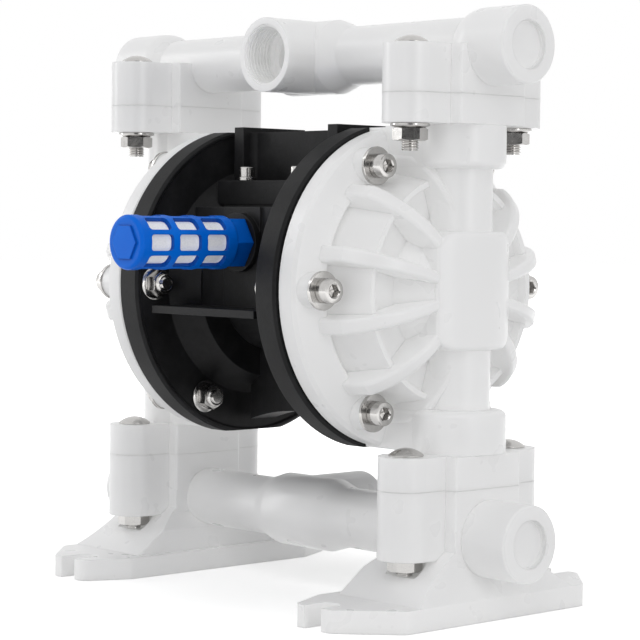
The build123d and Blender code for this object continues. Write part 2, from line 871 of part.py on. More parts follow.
# ---------------------------------------------------------------- manifolds
def pipe_half(radius, end_face, rise):
    """Right half of a manifold pipe: tee body, pipe, shoulder and closed end port."""
    boss_start = end_face - end_boss_length
    pipe_profile = Plane((0, 0, shaft_height + rise), x_dir=(1, 0, 0), z_dir=(0, -1, 0))
    with BuildPart() as half:
        with BuildSketch(pipe_profile):
            with BuildLine():
                Polyline(
                    (0, 0),
                    (0, tee_radius),
                    (tee_half_width, tee_radius),
                    (tee_half_width + tee_shoulder_length, radius),
                    (boss_start - end_shoulder_length, radius),
                )
                ThreePointArc(
                    (boss_start - end_shoulder_length, radius),
                    (
                        boss_start - end_shoulder_length * 0.55,
                        radius + (end_boss_radius - radius) * 0.72,
                    ),
                    (boss_start, end_boss_radius),
                )
                Polyline(
                    (boss_start, end_boss_radius),
                    (end_face - 0.8, end_boss_radius),
                    (end_face, end_boss_radius - 0.8),
                    (end_face, blind_port_radius),
                    (end_face - blind_port_depth, blind_port_radius),
                    (end_face - blind_port_depth, 0),
                    (0, 0),
                )
            make_face()
        revolve(axis=Axis((0, 0, shaft_height + rise), (1, 0, 0)))
    return half.part


def port_cut(axis_rise, side):
    """Threaded pipe port with a stepped mouth, cut from the tee face to the pipe bore."""
    with BuildPart() as cut:
        for start, radius in (
            (0, pipe_bore_radius),
            (tee_face - port_bore_depth, port_bore_radius),
            (tee_face - port_mouth_depth, port_mouth_radius),
        ):
            with BuildSketch(facing_y(side * start, side, rise=axis_rise)):
                Circle(radius)
            extrude(amount=tee_face - start)
    return cut.part


with BuildPart() as discharge_half:
    add(pipe_half(discharge_radius, discharge_end_face, discharge_rise))
    add(joint_flange(top_parting, discharge_boss_top))

with BuildPart() as discharge_manifold:
    add(discharge_half.part)
    mirror(discharge_half.part, about=Plane.YZ)
    with BuildSketch(facing_y(0, -1, rise=discharge_rise)):
        Circle(tee_radius)
    extrude(amount=tee_face)
    with BuildSketch(facing_x(-column_reach, rise=discharge_rise)):
        Circle(pipe_bore_radius)
    extrude(amount=2 * column_reach, mode=Mode.SUBTRACT)
    with BuildSketch(level(top_parting)):
        with Locations(*column_spots):
            Circle(cage_radius)
    extrude(amount=discharge_boss_top - top_parting - cage_roof, mode=Mode.SUBTRACT)
    with Locations(*[(x, 0, shaft_height + discharge_rise) for x, y in column_spots]):
        Sphere(pipe_bore_radius, mode=Mode.SUBTRACT)
    add(port_cut(discharge_rise, -1), mode=Mode.SUBTRACT)
    # moulded stops above the balls
    with BuildSketch(level(ball_stop_rise)):
        with Locations(*column_spots):
            Circle(ball_stop_radius)
    extrude(amount=discharge_rise + pipe_bore_radius + 1 - ball_stop_rise)
    with BuildSketch(level(top_parting)):
        with Locations(*manifold_bolt_spots):
            Circle(flange_hole_radius)
    extrude(amount=discharge_boss_top - top_parting, mode=Mode.SUBTRACT)
save(discharge_manifold, "discharge_manifold")

with BuildPart() as foot:
    with BuildSketch():
        with BuildLine():
            Polyline(
                (foot_inner, -foot_side_half_length),
                (lobe_inner, -foot_half_length),
                (lobe_outer, -foot_half_length),
                (foot_outer, -foot_side_half_length),
                (foot_outer, foot_side_half_length),
                (lobe_outer, foot_half_length),
                (lobe_inner, foot_half_length),
                (foot_inner, foot_side_half_length),
                close=True,
            )
        make_face()
        fillet(vertices(), foot_corner)
        for end in (-1, 1):
            with Locations((slot_centre, end * (foot_half_length - slot_length + slot_radius))):
                Circle(slot_radius, mode=Mode.SUBTRACT)
            with Locations((slot_centre, end * (foot_half_length - (slot_length - slot_radius) / 2))):
                Rectangle(2 * slot_radius, slot_length - slot_radius, mode=Mode.SUBTRACT)
    extrude(amount=foot_thickness)

foot_top_drop = shaft_height - foot_thickness
pedestal_slope_drop = pedestal_top_drop + pedestal_slope * (foot_top_drop - pedestal_top_drop)
pedestal_height = foot_top_drop - pedestal_slope_drop
with BuildPart() as pedestal:
    # section across the pump, hollowed towards the outer edge of the foot
    with BuildSketch(facing_y(pedestal_base_half_length, -1)):
        with BuildLine():
            Polyline(
                (column_reach + flange_half_width, -pedestal_slope_drop),
                (column_reach + flange_half_width, -pedestal_top_drop),
                (column_reach - flange_half_width, -pedestal_top_drop),
                (column_reach - flange_half_width, -pedestal_slope_drop),
                (pedestal_inner, -pedestal_slope_drop - pedestal_hollow * pedestal_height),
                (pedestal_inner, -foot_top_drop),
                (foot_outer, -foot_top_drop),
            )
            ThreePointArc(
                (foot_outer, -foot_top_drop),
                (pedestal_outer, -foot_top_drop + pedestal_hollow * pedestal_height),
                (column_reach + flange_half_width, -pedestal_slope_drop),
            )
        make_face()
    extrude(amount=2 * pedestal_base_half_length)
    # sloped front and back
    with BuildSketch(facing_x(foot_inner)):
        with BuildLine():
            Polyline(
                (-pedestal_base_half_length, -foot_top_drop),
                (-pedestal_top_half_length, -pedestal_slope_drop),
                (-flange_half_depth, -pedestal_top_drop),
                (flange_half_depth, -pedestal_top_drop),
                (pedestal_top_half_length, -pedestal_slope_drop),
                (pedestal_base_half_length, -foot_top_drop),
                close=True,
            )
        make_face()
    extrude(amount=foot_outer - foot_inner, mode=Mode.INTERSECT)

with BuildPart() as suction_half:
    add(pipe_half(suction_radius, suction_end_face, -suction_drop))
    add(pedestal.part)
    with BuildSketch(level(-suction_boss_bottom)):
        with Locations(*[(column_reach, s * flange_bolt_reach) for s in (-1, 1)]):
            Circle(nut_pocket_radius)
    extrude(amount=-nut_pocket_depth, mode=Mode.SUBTRACT)
    add(joint_flange(-suction_boss_bottom, -bottom_parting))
    add(foot.part)

with BuildPart() as suction_manifold:
    add(suction_half.part)
    mirror(suction_half.part, about=Plane.YZ)
    with BuildSketch(facing_y(0, 1, rise=-suction_drop)):
        Circle(tee_radius)
    extrude(amount=tee_face)
    with BuildSketch(facing_x(-column_reach, rise=-suction_drop)):
        Circle(pipe_bore_radius)
    extrude(amount=2 * column_reach, mode=Mode.SUBTRACT)
    with Locations(*[(x, 0, shaft_height - suction_drop) for x, y in column_spots]):
        Sphere(pipe_bore_radius, mode=Mode.SUBTRACT)
    with BuildSketch(level(-suction_drop)):
        with Locations(*column_spots):
            Circle(seat_bore_radius)
    extrude(amount=suction_drop - bottom_parting, mode=Mode.SUBTRACT)
    add(port_cut(-suction_drop, 1), mode=Mode.SUBTRACT)
    with BuildSketch(level(-suction_boss_bottom)):
        with Locations(*manifold_bolt_spots):
            Circle(flange_hole_radius)
    extrude(amount=suction_boss_bottom - bottom_parting, mode=Mode.SUBTRACT)
save(suction_manifold, "suction_manifold")


# ---------------------------------------------------------------- centre body
right_bowl = bowl_solid(seat_clearance)

with BuildPart() as center_body:
    with BuildSketch(facing_x(-bowl_face)):
        Circle(barrel_radius)
    extrude(amount=2 * bowl_face)
    # port block with a pad round the muffler port
    with BuildSketch(level(block_bottom)):
        Rectangle(2 * body_half_length, 2 * block_half_depth)
    extrude(amount=block_rise - block_bottom)
    fillet(center_body.edges().filter_by(Axis.Z), edge_round)
    with BuildSketch(facing_y(0, -1, rise=(block_rise + block_bottom) / 2)):
        Rectangle(2 * port_pad_half_width, block_rise - block_bottom)
    extrude(amount=port_face)
    with BuildSketch(facing_y(-port_face, -1, rise=muffler_rise)):
        Circle(port_boss_radius)
    extrude(amount=port_boss_height)
    # stiffening shelf
    with BuildSketch(level(block_bottom)):
        Rectangle(2 * body_half_length, 2 * shelf_rib_half_depth)
    extrude(amount=shelf_rib_thickness)
    # arched web under the body
    with BuildSketch(facing_y(-web_half_thickness, 1)):
        with BuildLine():
            Polyline(
                (-body_half_length, -web_bottom),
                (-body_half_length, 0),
                (body_half_length, 0),
                (body_half_length, -web_bottom),
            )
            ThreePointArc(
                (body_half_length, -web_bottom),
                (0, -web_bottom + web_arch),
                (-body_half_length, -web_bottom),
            )
        make_face()
    extrude(amount=2 * web_half_thickness)
    # sockets for the air cap bowls
    add(right_bowl, mode=Mode.SUBTRACT)
    mirror(right_bowl, about=Plane.YZ, mode=Mode.SUBTRACT)
    # shaft bore, pilot bore and air passages
    with BuildSketch(facing_x(-bowl_face)):
        Circle(bush_radius)
        with Locations((0, -pilot_rod_offset)):
            Circle(pilot_rod_radius + fit_clearance)
        with PolarLocations(cap_screw_circle_radius, 4, start_angle=45):
            Circle(m4_radius)
    extrude(amount=2 * bowl_face, mode=Mode.SUBTRACT)
    with BuildSketch(facing_y(-muffler_face, 1, rise=muffler_rise)):
        Circle(muffler_port_radius)
    extrude(amount=muffler_port_depth, mode=Mode.SUBTRACT)
    with BuildSketch(facing_y(block_half_depth, -1, rise=muffler_rise)):
        Circle(air_inlet_radius)
    extrude(amount=air_inlet_depth, mode=Mode.SUBTRACT)
    with BuildSketch(level(block_rise)):
        with Locations(*valve_screw_spots):
            Circle(m4_radius)
    extrude(amount=-m4_depth + valve_plate_thickness / 2, mode=Mode.SUBTRACT)
save(center_body, "center_body")

with BuildPart() as shaft_bush:
    with BuildSketch(facing_x(bowl_face)):
        Circle(bush_radius)
        Circle(shaft_radius + fit_clearance, mode=Mode.SUBTRACT)
    extrude(amount=-bush_length)
save_pair(shaft_bush, "shaft_bush")

with BuildPart() as pilot_rod:
    with BuildSketch(facing_x(-pilot_rod_half_length, rise=-pilot_rod_offset)):
        Circle(pilot_rod_radius)
    extrude(amount=2 * pilot_rod_half_length)
save(pilot_rod, "pilot_rod")


# ---------------------------------------------------------------- air valve
with BuildPart() as valve_gasket:
    with BuildSketch(level(block_rise)):
        Rectangle(2 * body_half_length - 2, 2 * valve_plate_half_depth - 2)
        with Locations(*valve_screw_spots):
            Circle(m4_radius + fit_clearance, mode=Mode.SUBTRACT)
    extrude(amount=gasket_thickness)
    add(right_bowl, mode=Mode.SUBTRACT)
    mirror(right_bowl, about=Plane.YZ, mode=Mode.SUBTRACT)
save(valve_gasket, "valve_gasket")

with BuildPart() as valve_housing:
    with BuildSketch(level(valve_plate_bottom)):
        Rectangle(2 * body_half_length, 2 * valve_plate_half_depth)
    extrude(amount=valve_plate_thickness)
    fillet(valve_housing.edges().filter_by(Axis.Z), edge_round)
    # waisted tower between two end flanges
    with BuildSketch(level(valve_plate_top)):
        Rectangle(2 * body_half_length, 2 * valve_tower_waist_half_depth)
    extrude(amount=valve_tower_top - valve_tower_waist_drop - valve_plate_top)
    for end in (-1, 1):
        with BuildSketch(level(valve_plate_top)):
            with Locations((end * (body_half_length - valve_tower_flange / 2), 0)):
                Rectangle(valve_tower_flange, 2 * valve_tower_half_depth)
        extrude(amount=valve_tower_top - valve_plate_top)
    waist_corners = valve_housing.edges().filter_by(Axis.Z).filter_by(
        lambda edge: abs(abs(edge.center().Y) - valve_tower_waist_half_depth) < 0.01
        and abs(edge.center().X) < body_half_length - 1
    )
    fillet(waist_corners, valve_tower_fillet)
    with BuildSketch(level(valve_plate_bottom)):
        with Locations(*valve_screw_spots):
            Circle(m4_radius + seat_clearance)
    extrude(amount=valve_plate_thickness, mode=Mode.SUBTRACT)
    with BuildSketch(facing_x(-body_half_length, rise=valve_bore_rise)):
        Circle(valve_sleeve_radius)
    extrude(amount=2 * body_half_length, mode=Mode.SUBTRACT)
    add(right_bowl, mode=Mode.SUBTRACT)
    mirror(right_bowl, about=Plane.YZ, mode=Mode.SUBTRACT)
save(valve_housing, "valve_housing")

with BuildPart() as valve_screws:
    with Locations(level(valve_plate_top)):
        with Locations(*[(x, y, m4_washer_thickness / 2) for x, y in valve_screw_spots]):
            Cylinder(m4_washer_radius, m4_washer_thickness)
        head_middle = m4_washer_thickness + m4_head_height / 2
        with Locations(*[(x, y, head_middle) for x, y in valve_screw_spots]):
            Cylinder(m4_head_radius, m4_head_height)
        shank = valve_plate_thickness + gasket_thickness + m4_depth - valve_plate_thickness / 2
        with Locations(*[(x, y, -shank / 2) for x, y in valve_screw_spots]):
            Cylinder(m4_radius, shank)
save(valve_screws, "valve_screws")

plug_face = body_half_length - end_plug_length
with BuildPart() as valve_sleeve:
    with BuildSketch(facing_x(-plug_face, rise=valve_bore_rise)):
        Circle(valve_sleeve_radius)
        Circle(spool_radius + fit_clearance, mode=Mode.SUBTRACT)
    extrude(amount=2 * plug_face)
save(valve_sleeve, "valve_sleeve")

with BuildPart() as valve_plug:
    with BuildSketch(facing_x(plug_face, rise=valve_bore_rise)):
        Circle(valve_sleeve_radius)
    extrude(amount=end_plug_length)
save_pair(valve_plug, "valve_plug")

with BuildPart() as valve_spool:
    with BuildSketch(facing_x(-spool_half_length, rise=valve_bore_rise)):
        Circle(spool_radius)
    extrude(amount=2 * spool_half_length)
    for end in (-1, 1):
        with BuildSketch(facing_x(end * spool_half_length / 2 - spool_waist_length / 2, rise=valve_bore_rise)):
            Circle(spool_radius + 1)
            Circle(spool_waist_radius, mode=Mode.SUBTRACT)
        extrude(amount=spool_waist_length, mode=Mode.SUBTRACT)
save(valve_spool, "valve_spool")


# ---------------------------------------------------------------- muffler
cage_start = muffler_face + muffler_hex_length
muffler_bore = muffler_radius - muffler_wall
with BuildPart() as muffler_cage:
    with BuildSketch(facing_y(-muffler_face, -1, rise=muffler_rise)):
        RegularPolygon(muffler_hex_flats / 2, 6, major_radius=False)
    extrude(amount=muffler_hex_length)
    with BuildSketch(facing_y(-muffler_face, 1, rise=muffler_rise)):
        Circle(muffler_port_radius)
    extrude(amount=muffler_port_depth - 1)
    with BuildSketch(facing_y(-cage_start, -1, rise=muffler_rise)):
        Circle(muffler_radius)
    extrude(amount=muffler_end - cage_start)
    end_edge = muffler_cage.edges().filter_by(GeomType.CIRCLE).sort_by(Axis.Y)[0]
    fillet(end_edge, edge_round)
    with BuildSketch(facing_y(-muffler_end, -1, rise=muffler_rise)):
        RegularPolygon(muffler_badge_flats / 2, 6, major_radius=False)
    extrude(amount=muffler_badge_height)
    with BuildSketch(facing_y(-cage_start, -1, rise=muffler_rise)):
        Circle(muffler_bore)
    extrude(amount=muffler_end - muffler_end_cap - cage_start, mode=Mode.SUBTRACT)
    with BuildSketch(facing_y(-cage_start, 1, rise=muffler_rise)):
        Circle(muffler_port_radius - 2.5)
    extrude(amount=muffler_hex_length + muffler_port_depth, mode=Mode.SUBTRACT)
    # rows of windows round the cage
    for column in range(muffler_windows_along):
        middle = muffler_end - muffler_end_cap - muffler_window_margin - muffler_window_length / 2
        middle -= column * muffler_window_pitch
        for row in range(muffler_window_rows):
            turn = row * 360 / muffler_window_rows
            outward = (sin(radians(turn)), 0, cos(radians(turn)))
            window_plane = Plane(
                (0, -middle, shaft_height + muffler_rise), x_dir=(0, 1, 0), z_dir=outward
            )
            with BuildSketch(window_plane):
                RectangleRounded(muffler_window_length, muffler_window_width, muffler_window_corner)
            extrude(amount=muffler_radius + 1, mode=Mode.SUBTRACT)
save(muffler_cage, "muffler_cage")

with BuildPart() as muffler_element:
    with BuildSketch(facing_y(-cage_start, -1, rise=muffler_rise)):
        Circle(muffler_bore - fit_clearance)
        Circle(muffler_bore - element_wall, mode=Mode.SUBTRACT)
    extrude(amount=muffler_end - muffler_end_cap - cage_start)
save(muffler_element, "muffler_element")
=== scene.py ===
import json
import math

import bmesh
import bpy
from mathutils import Matrix, Vector


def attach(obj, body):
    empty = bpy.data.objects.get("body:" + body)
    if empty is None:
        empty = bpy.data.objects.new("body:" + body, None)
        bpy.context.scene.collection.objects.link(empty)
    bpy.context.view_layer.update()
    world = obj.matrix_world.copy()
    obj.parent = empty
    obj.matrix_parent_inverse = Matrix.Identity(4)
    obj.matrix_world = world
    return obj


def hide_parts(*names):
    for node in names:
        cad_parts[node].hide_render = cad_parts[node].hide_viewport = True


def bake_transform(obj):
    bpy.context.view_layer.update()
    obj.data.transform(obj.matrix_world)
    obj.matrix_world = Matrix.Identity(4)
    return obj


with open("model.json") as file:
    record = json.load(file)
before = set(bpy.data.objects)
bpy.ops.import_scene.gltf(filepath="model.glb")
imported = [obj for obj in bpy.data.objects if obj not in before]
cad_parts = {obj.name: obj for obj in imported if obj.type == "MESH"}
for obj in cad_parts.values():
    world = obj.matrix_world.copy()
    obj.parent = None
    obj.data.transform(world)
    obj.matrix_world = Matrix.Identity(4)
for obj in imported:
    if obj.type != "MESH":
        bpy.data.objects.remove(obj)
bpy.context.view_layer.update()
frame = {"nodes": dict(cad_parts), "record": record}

mm = 0.001
mergeGap = 0.002 * mm        # points closer than this are one point
smoothLimit = 32             # degrees; sharper edges stay crisp
print("frame loaded:", len(frame["nodes"]), "parts")


class Wire:
    # wraps a socket, so that a pattern is written as a sum

    def __init__(self, tree, socket=None):
        self.tree = tree
        self.socket = socket

    def node(self, kind, settings=None, sockets=None, output=0):
        made = self.tree.nodes.new("ShaderNode" + kind)
        for name, value in (settings or {}).items():
            setattr(made, name, value)
        for name, value in (sockets or {}).items():
            if isinstance(value, Wire):
                self.tree.links.new(value.socket, made.inputs[name])
            else:
                made.inputs[name].default_value = value
        return Wire(self.tree, made.outputs[output])

    def sums(self, operation, first, second):
        return self.node("Math", {"operation": operation}, {0: first, 1: second})

    def __add__(self, other):
        return self.sums("ADD", self, other)

    __radd__ = __add__

    def __mul__(self, other):
        return self.sums("MULTIPLY", self, other)

    __rmul__ = __mul__

    def __sub__(self, other):
        return self.sums("SUBTRACT", self, other)

    def __rsub__(self, other):
        return self.sums("SUBTRACT", other, self)


def newMaterial(name, **fixed):
    # a principled material with its constant sockets set, and the wire that its patterns start from
    material = bpy.data.materials.new(name)
    material.use_nodes = True
    tree = material.node_tree
    shader = tree.nodes["Principled BSDF"]
    for words, value in fixed.items():
        socket = words.replace("_", " ").title().replace("Ior", "IOR")
        shader.inputs[socket].default_value = value
    return material, shader, Wire(tree)


def connect(shader, **wires):
    for words, wire in wires.items():
        wire.tree.links.new(wire.socket, shader.inputs[words.replace("_", " ").title()])


def mixColour(wire, factor, first, second):
    return wire.node("Mix", {"data_type": "RGBA"}, {0: factor, 6: first, 7: second}, output=2)


def objectPoint(wire):
    return wire.node("TexCoord", output="Object")


def noise(wire, point, scale, detail=2.0, roughness=0.5):
    return wire.node("TexNoise", None, {"Vector": point, "Scale": scale, "Detail": detail,
                                        "Roughness": roughness})


def bumpOn(wire, look, height, **normal):
    # surface grain as deep as the look says
    return wire.node("Bump", None, {"Strength": look["bump"], "Distance": look["depth"],
                                    "Height": height, **normal})


def roundedNormal(wire, radius):
    return wire.node("Bevel", {"samples": 4}, {"Radius": radius})


def softEdge(wire, look, height):
    # surface grain over edges that the light sees as rounded
    return bumpOn(wire, look, height, Normal=roundedNormal(wire, look["edge"]))


def edgeMask(wire, radius, strength):
    # 1 along corners and 0 on flats, from how far the rounded normal leans away from the true one
    flat = wire.node("NewGeometry", output="Normal")
    lean = wire.node("VectorMath", {"operation": "DOT_PRODUCT"},
                     {0: roundedNormal(wire, radius), 1: flat}, "Value")
    return wire.sums("MINIMUM", (1 - lean) * strength, 1.0)


def shutIn(wire, reach):
    # 0 in the open, rising to 1 in pockets and corners; it drives the painted light and painted
    # shade of the plastics
    return 1 - wire.node("AmbientOcclusion", {"samples": 6}, {"Distance": reach}, "AO")


# milky moulded plastic: cloudy in its depth, faintly rippled where it shrank in the mould; its
# pockets get painted light, a paler colour and a faint painted glow
naturalLook = {"pale": (0.80, 0.80, 0.804, 1), "deep": (0.765, 0.765, 0.768, 1),
               "pocket": (0.86, 0.86, 0.86, 1), "through": (0.09, 0.09, 0.088, 1),
               "reach": 30 * mm, "cloudScale": 22.0, "rippleScale": 70.0, "grainScale": 900.0,
               "gloss": 0.24, "glossSpread": 0.10, "bend": 1.49, "glow": 0.35, "glowDepth": 8 * mm,
               "bump": 0.10, "depth": 0.3 * mm, "ripple": 0.7, "grain": 0.12, "edge": 0.5 * mm}


def makeNatural(look):
    # subsurface scattering lets light into the walls; on top of it, pockets and bores get painted
    # light, a paler colour and a faint painted glow by their occlusion, which stands in for light
    # through the thin walls
    material, shader, wire = newMaterial(
        "naturalPlastic", subsurface_weight=look["glow"], subsurface_scale=look["glowDepth"],
        subsurface_radius=(1.0, 1.0, 1.0), ior=look["bend"], emission_strength=1.0)
    point = objectPoint(wire)
    cloud = noise(wire, point, look["cloudScale"], 3.0)
    ripple = noise(wire, point, look["rippleScale"])
    grain = noise(wire, point, look["grainScale"], 1.0)
    shut = shutIn(wire, look["reach"])
    skin = mixColour(wire, cloud, look["deep"], look["pale"])
    # painted light: paler colour and a faint glow wherever the surface is shut in
    connect(shader, base_color=mixColour(wire, shut, skin, look["pocket"]),
            emission_color=mixColour(wire, shut, (0, 0, 0, 1), look["through"]),
            roughness=look["gloss"] + look["glossSpread"] * ripple,
            normal=softEdge(wire, look, ripple * look["ripple"] + grain * look["grain"]))
    return material


# filled black plastic: fine spark-eroded grain, paler in patches where it has been handled, with a
# painted highlight along its edges
blackLook = {"deep": (0.004, 0.004, 0.0044, 1), "worn": (0.022, 0.022, 0.023, 1),
             "paintedEdgeHighlight": (0.085, 0.085, 0.088, 1), "edgeHighlightStrength": 1.6, "wearScale": 70.0, "wearDetail": 8.0,
             "wearRoughness": 0.68, "wear": 1.6, "grainScale": 1300.0, "gloss": 0.34,
             "glossSpread": 0.24, "shine": 0.14, "bump": 0.6, "depth": 0.12 * mm, "ripple": 0.6,
             "edge": 0.6 * mm}


def makeBlack(look):
    material, shader, wire = newMaterial("blackPlastic", specular_ior_level=look["shine"])
    point = objectPoint(wire)
    wear = noise(wire, point, look["wearScale"], look["wearDetail"], look["wearRoughness"])
    grain = noise(wire, point, look["grainScale"], 3.0)
    skin = mixColour(wire, wear * wear * look["wear"], look["deep"], look["worn"])
    # painted highlight: the corners are made paler, broken up where the wear patches are weak
    corner = edgeMask(wire, look["edge"], look["edgeHighlightStrength"]) * wear
    connect(shader, base_color=mixColour(wire, corner, skin, look["paintedEdgeHighlight"]),
            roughness=look["gloss"] + look["glossSpread"] * wear,
            normal=softEdge(wire, look, grain + wear * look["ripple"]))
    return material


# dyed cage of the muffler, with painted shade between its bars and in its corners
blueLook = {"bright": (0.0, 0.16, 0.74, 1), "deep": (0.0, 0.11, 0.60, 1),
            "shade": (0.0, 0.03, 0.22, 1), "reach": 14 * mm, "cloudScale": 60.0,
            "grainScale": 800.0, "gloss": 0.26, "glossSpread": 0.15, "shine": 0.1, "bump": 0.2,
            "depth": 0.1 * mm, "edge": 0.6 * mm}


def makeBlue(look):
    material, shader, wire = newMaterial("bluePlastic", specular_ior_level=look["shine"])
    point = objectPoint(wire)
    cloud = noise(wire, point, look["cloudScale"], 3.0)
    grain = noise(wire, point, look["grainScale"])
    skin = mixColour(wire, cloud, look["deep"], look["bright"])
    # painted shade: the colour darkens wherever the surface is shut in
    connect(shader,
            base_color=mixColour(wire, shutIn(wire, look["reach"]), skin, look["shade"]),
            roughness=look["gloss"] + look["glossSpread"] * cloud,
            normal=softEdge(wire, look, grain + cloud))
    return material


# pressed fibre beads in the muffler, with a faint painted glow where they are shut in
feltLook = {"pale": (0.93, 0.93, 0.95, 1), "deep": (0.80, 0.81, 0.84, 1),
            "through": (0.30, 0.30, 0.31, 1), "reach": 12 * mm, "beadScale": 1300.0,
            "gloss": 0.85, "bump": 0.45, "depth": 0.25 * mm}


def makeFelt(look):
    material, shader, wire = newMaterial("porousWhite", roughness=look["gloss"],
                                         emission_strength=1.0)
    bead = wire.node("TexVoronoi", None, {"Vector": objectPoint(wire), "Scale": look["beadScale"]})
    # painted light: a faint glow in the occluded hollows
    through = mixColour(wire, shutIn(wire, look["reach"]), (0, 0, 0, 1), look["through"])
    connect(shader, base_color=mixColour(wire, bead, look["pale"], look["deep"]),
            emission_color=through, normal=bumpOn(wire, look, 1 - bead))
    return material


# drawn and turned steel, a little smeared
steelLook = {"bright": (0.60, 0.59, 0.575, 1), "dull": (0.46, 0.45, 0.44, 1), "smearScale": 350.0,
             "smearDetail": 5.0, "smearRoughness": 0.65, "gloss": 0.13, "glossSpread": 0.14,
             "bump": 0.03, "depth": 0.05 * mm}


def makeSteel(look):
    material, shader, wire = newMaterial("stainless", metallic=1.0)
    smear = noise(wire, objectPoint(wire), look["smearScale"], look["smearDetail"],
                  look["smearRoughness"])
    connect(shader, base_color=mixColour(wire, smear, look["dull"], look["bright"]),
            roughness=look["gloss"] + look["glossSpread"] * smear,
            normal=bumpOn(wire, look, smear))
    return material


# rubber, acetal and die-cast parts inside the pump
insideLooks = {
    "black_rubber": {"name": "blackRubber", "dark": (0.012, 0.012, 0.012, 1),
                     "light": (0.03, 0.03, 0.03, 1), "cloudScale": 60, "gloss": 0.55,
                     "bump": 0.4, "metal": 0.0},
    "ball_rubber": {"name": "ballRubber", "dark": (0.02, 0.02, 0.022, 1),
                    "light": (0.05, 0.05, 0.05, 1), "cloudScale": 80, "gloss": 0.45,
                    "bump": 0.3, "metal": 0.0},
    "white_acetal": {"name": "whiteAcetal", "dark": (0.72, 0.72, 0.70, 1),
                     "light": (0.82, 0.82, 0.80, 1), "cloudScale": 50, "gloss": 0.25,
                     "bump": 0.1, "metal": 0.0},
    "plate_aluminium": {"name": "castAluminium", "dark": (0.5, 0.5, 0.51, 1),
                        "light": (0.66, 0.66, 0.67, 1), "cloudScale": 120, "gloss": 0.35,
                        "bump": 0.4, "metal": 1.0},
}


insideGrain = {"glossSpread": 0.2, "finer": 20, "depth": 0.1 * mm}


def makeInside(look, grainLook):
    material, shader, wire = newMaterial(look["name"], metallic=look["metal"])
    point = objectPoint(wire)
    cloud = noise(wire, point, look["cloudScale"], 4.0)
    grain = noise(wire, point, look["cloudScale"] * grainLook["finer"])
    connect(shader, base_color=mixColour(wire, cloud, look["dark"], look["light"]),
            roughness=look["gloss"] + grainLook["glossSpread"] * cloud,
            normal=bumpOn(wire, {**look, **grainLook}, grain))
    return material


materials = {"natural_pp": makeNatural(naturalLook), "black_pp": makeBlack(blackLook),
             "blue_plastic": makeBlue(blueLook), "white_felt": makeFelt(feltLook),
             "stainless": makeSteel(steelLook)}
materials.update({slot: makeInside(look, insideGrain) for slot, look in insideLooks.items()})

slotOfNode = {part["node"]: part["material_slot"] for part in frame["record"]["subparts"]}
for name, part in frame["nodes"].items():
    finish = materials[slotOfNode[name]]
    if part.material_slots:
        for place in part.material_slots:
            place.material = finish
    else:
        part.data.materials.append(finish)
print("materials made:", len(materials))


def finishPiece(name, mesh, smoothAngle=None):
    # closes doubles, points the faces outwards and makes the object
    bmesh.ops.remove_doubles(mesh, verts=mesh.verts, dist=mergeGap)
    bmesh.ops.recalc_face_normals(mesh, faces=mesh.faces)
    for face in mesh.faces:
        face.smooth = smoothAngle is not None
    if smoothAngle is not None:
        limit = math.radians(smoothAngle)
        for edge in mesh.edges:
            edge.smooth = len(edge.link_faces) == 2 and edge.calc_face_angle(0) < limit
    data = bpy.data.meshes.new(name)
    mesh.to_mesh(data)
    mesh.free()
    piece = bpy.data.objects.new(name, data)
    bpy.context.scene.collection.objects.link(piece)
    return piece


# place in millimetres; turn, tilt and roll in degrees
cameraPlace = {"place": (713.34, -655.32, 160.11), "turn": 42.73, "tilt": -2.57, "roll": 0.62,
               "lens": 124.5, "sensor": 36, "farthest": 20}


def makeCamera(spec):
    turn, tilt, roll = (math.radians(spec[word]) for word in ("turn", "tilt", "roll"))
    forward = Vector((-math.cos(turn) * math.cos(tilt), math.sin(turn) * math.cos(tilt),
                      math.sin(tilt)))
    level = Vector((math.sin(turn), math.cos(turn), 0))
    upright = level.cross(forward)
    right = level * math.cos(roll) + upright * math.sin(roll)
    up = upright * math.cos(roll) - level * math.sin(roll)
    data = bpy.data.cameras.new("camera")
    data.lens = spec["lens"]
    data.sensor_width = spec["sensor"]
    data.clip_end = spec["farthest"]
    camera = bpy.data.objects.new("camera", data)
    camera.matrix_world = Matrix((right, up, -forward)).transposed().to_4x4()
    camera.location = Vector(spec["place"]) * mm
    bpy.context.scene.collection.objects.link(camera)
    bpy.context.scene.camera = camera


# metres and watts; the dark card gives the steel its dark facets and shows in nothing else
lightPlan = {
    "lamps": {
        "top": {"from": (0.9, -1.3, 1.7), "width": 1.4, "height": 1.4, "power": 5},
        "rightStrip": {"from": (1.75, -0.35, 0.35), "width": 0.2, "height": 1.7, "power": 4},
        "leftStrip": {"from": (-1.5, -0.85, 0.4), "width": 0.25, "height": 1.7, "power": 6},
    },
    "darkCard": {"from": (1.25, -1.15, 0.2), "width": 0.8, "height": 1.8,
                 "colour": (0.01, 0.01, 0.01, 1)},
    "aimAt": (0, 0, 0.12),
    "ambient": 0.78,
}


def towards(target, place, axis):
    return (Vector(target) - Vector(place)).to_track_quat(axis, "Y")


def makeLamps(plan):
    for name, spec in plan["lamps"].items():
        data = bpy.data.lights.new(name, "AREA")
        data.shape = "RECTANGLE"
        data.size = spec["width"]
        data.size_y = spec["height"]
        data.energy = spec["power"]
        lamp = bpy.data.objects.new(name, data)
        lamp.location = spec["from"]
        lamp.rotation_euler = towards(plan["aimAt"], spec["from"], "-Z").to_euler()
        bpy.context.scene.collection.objects.link(lamp)


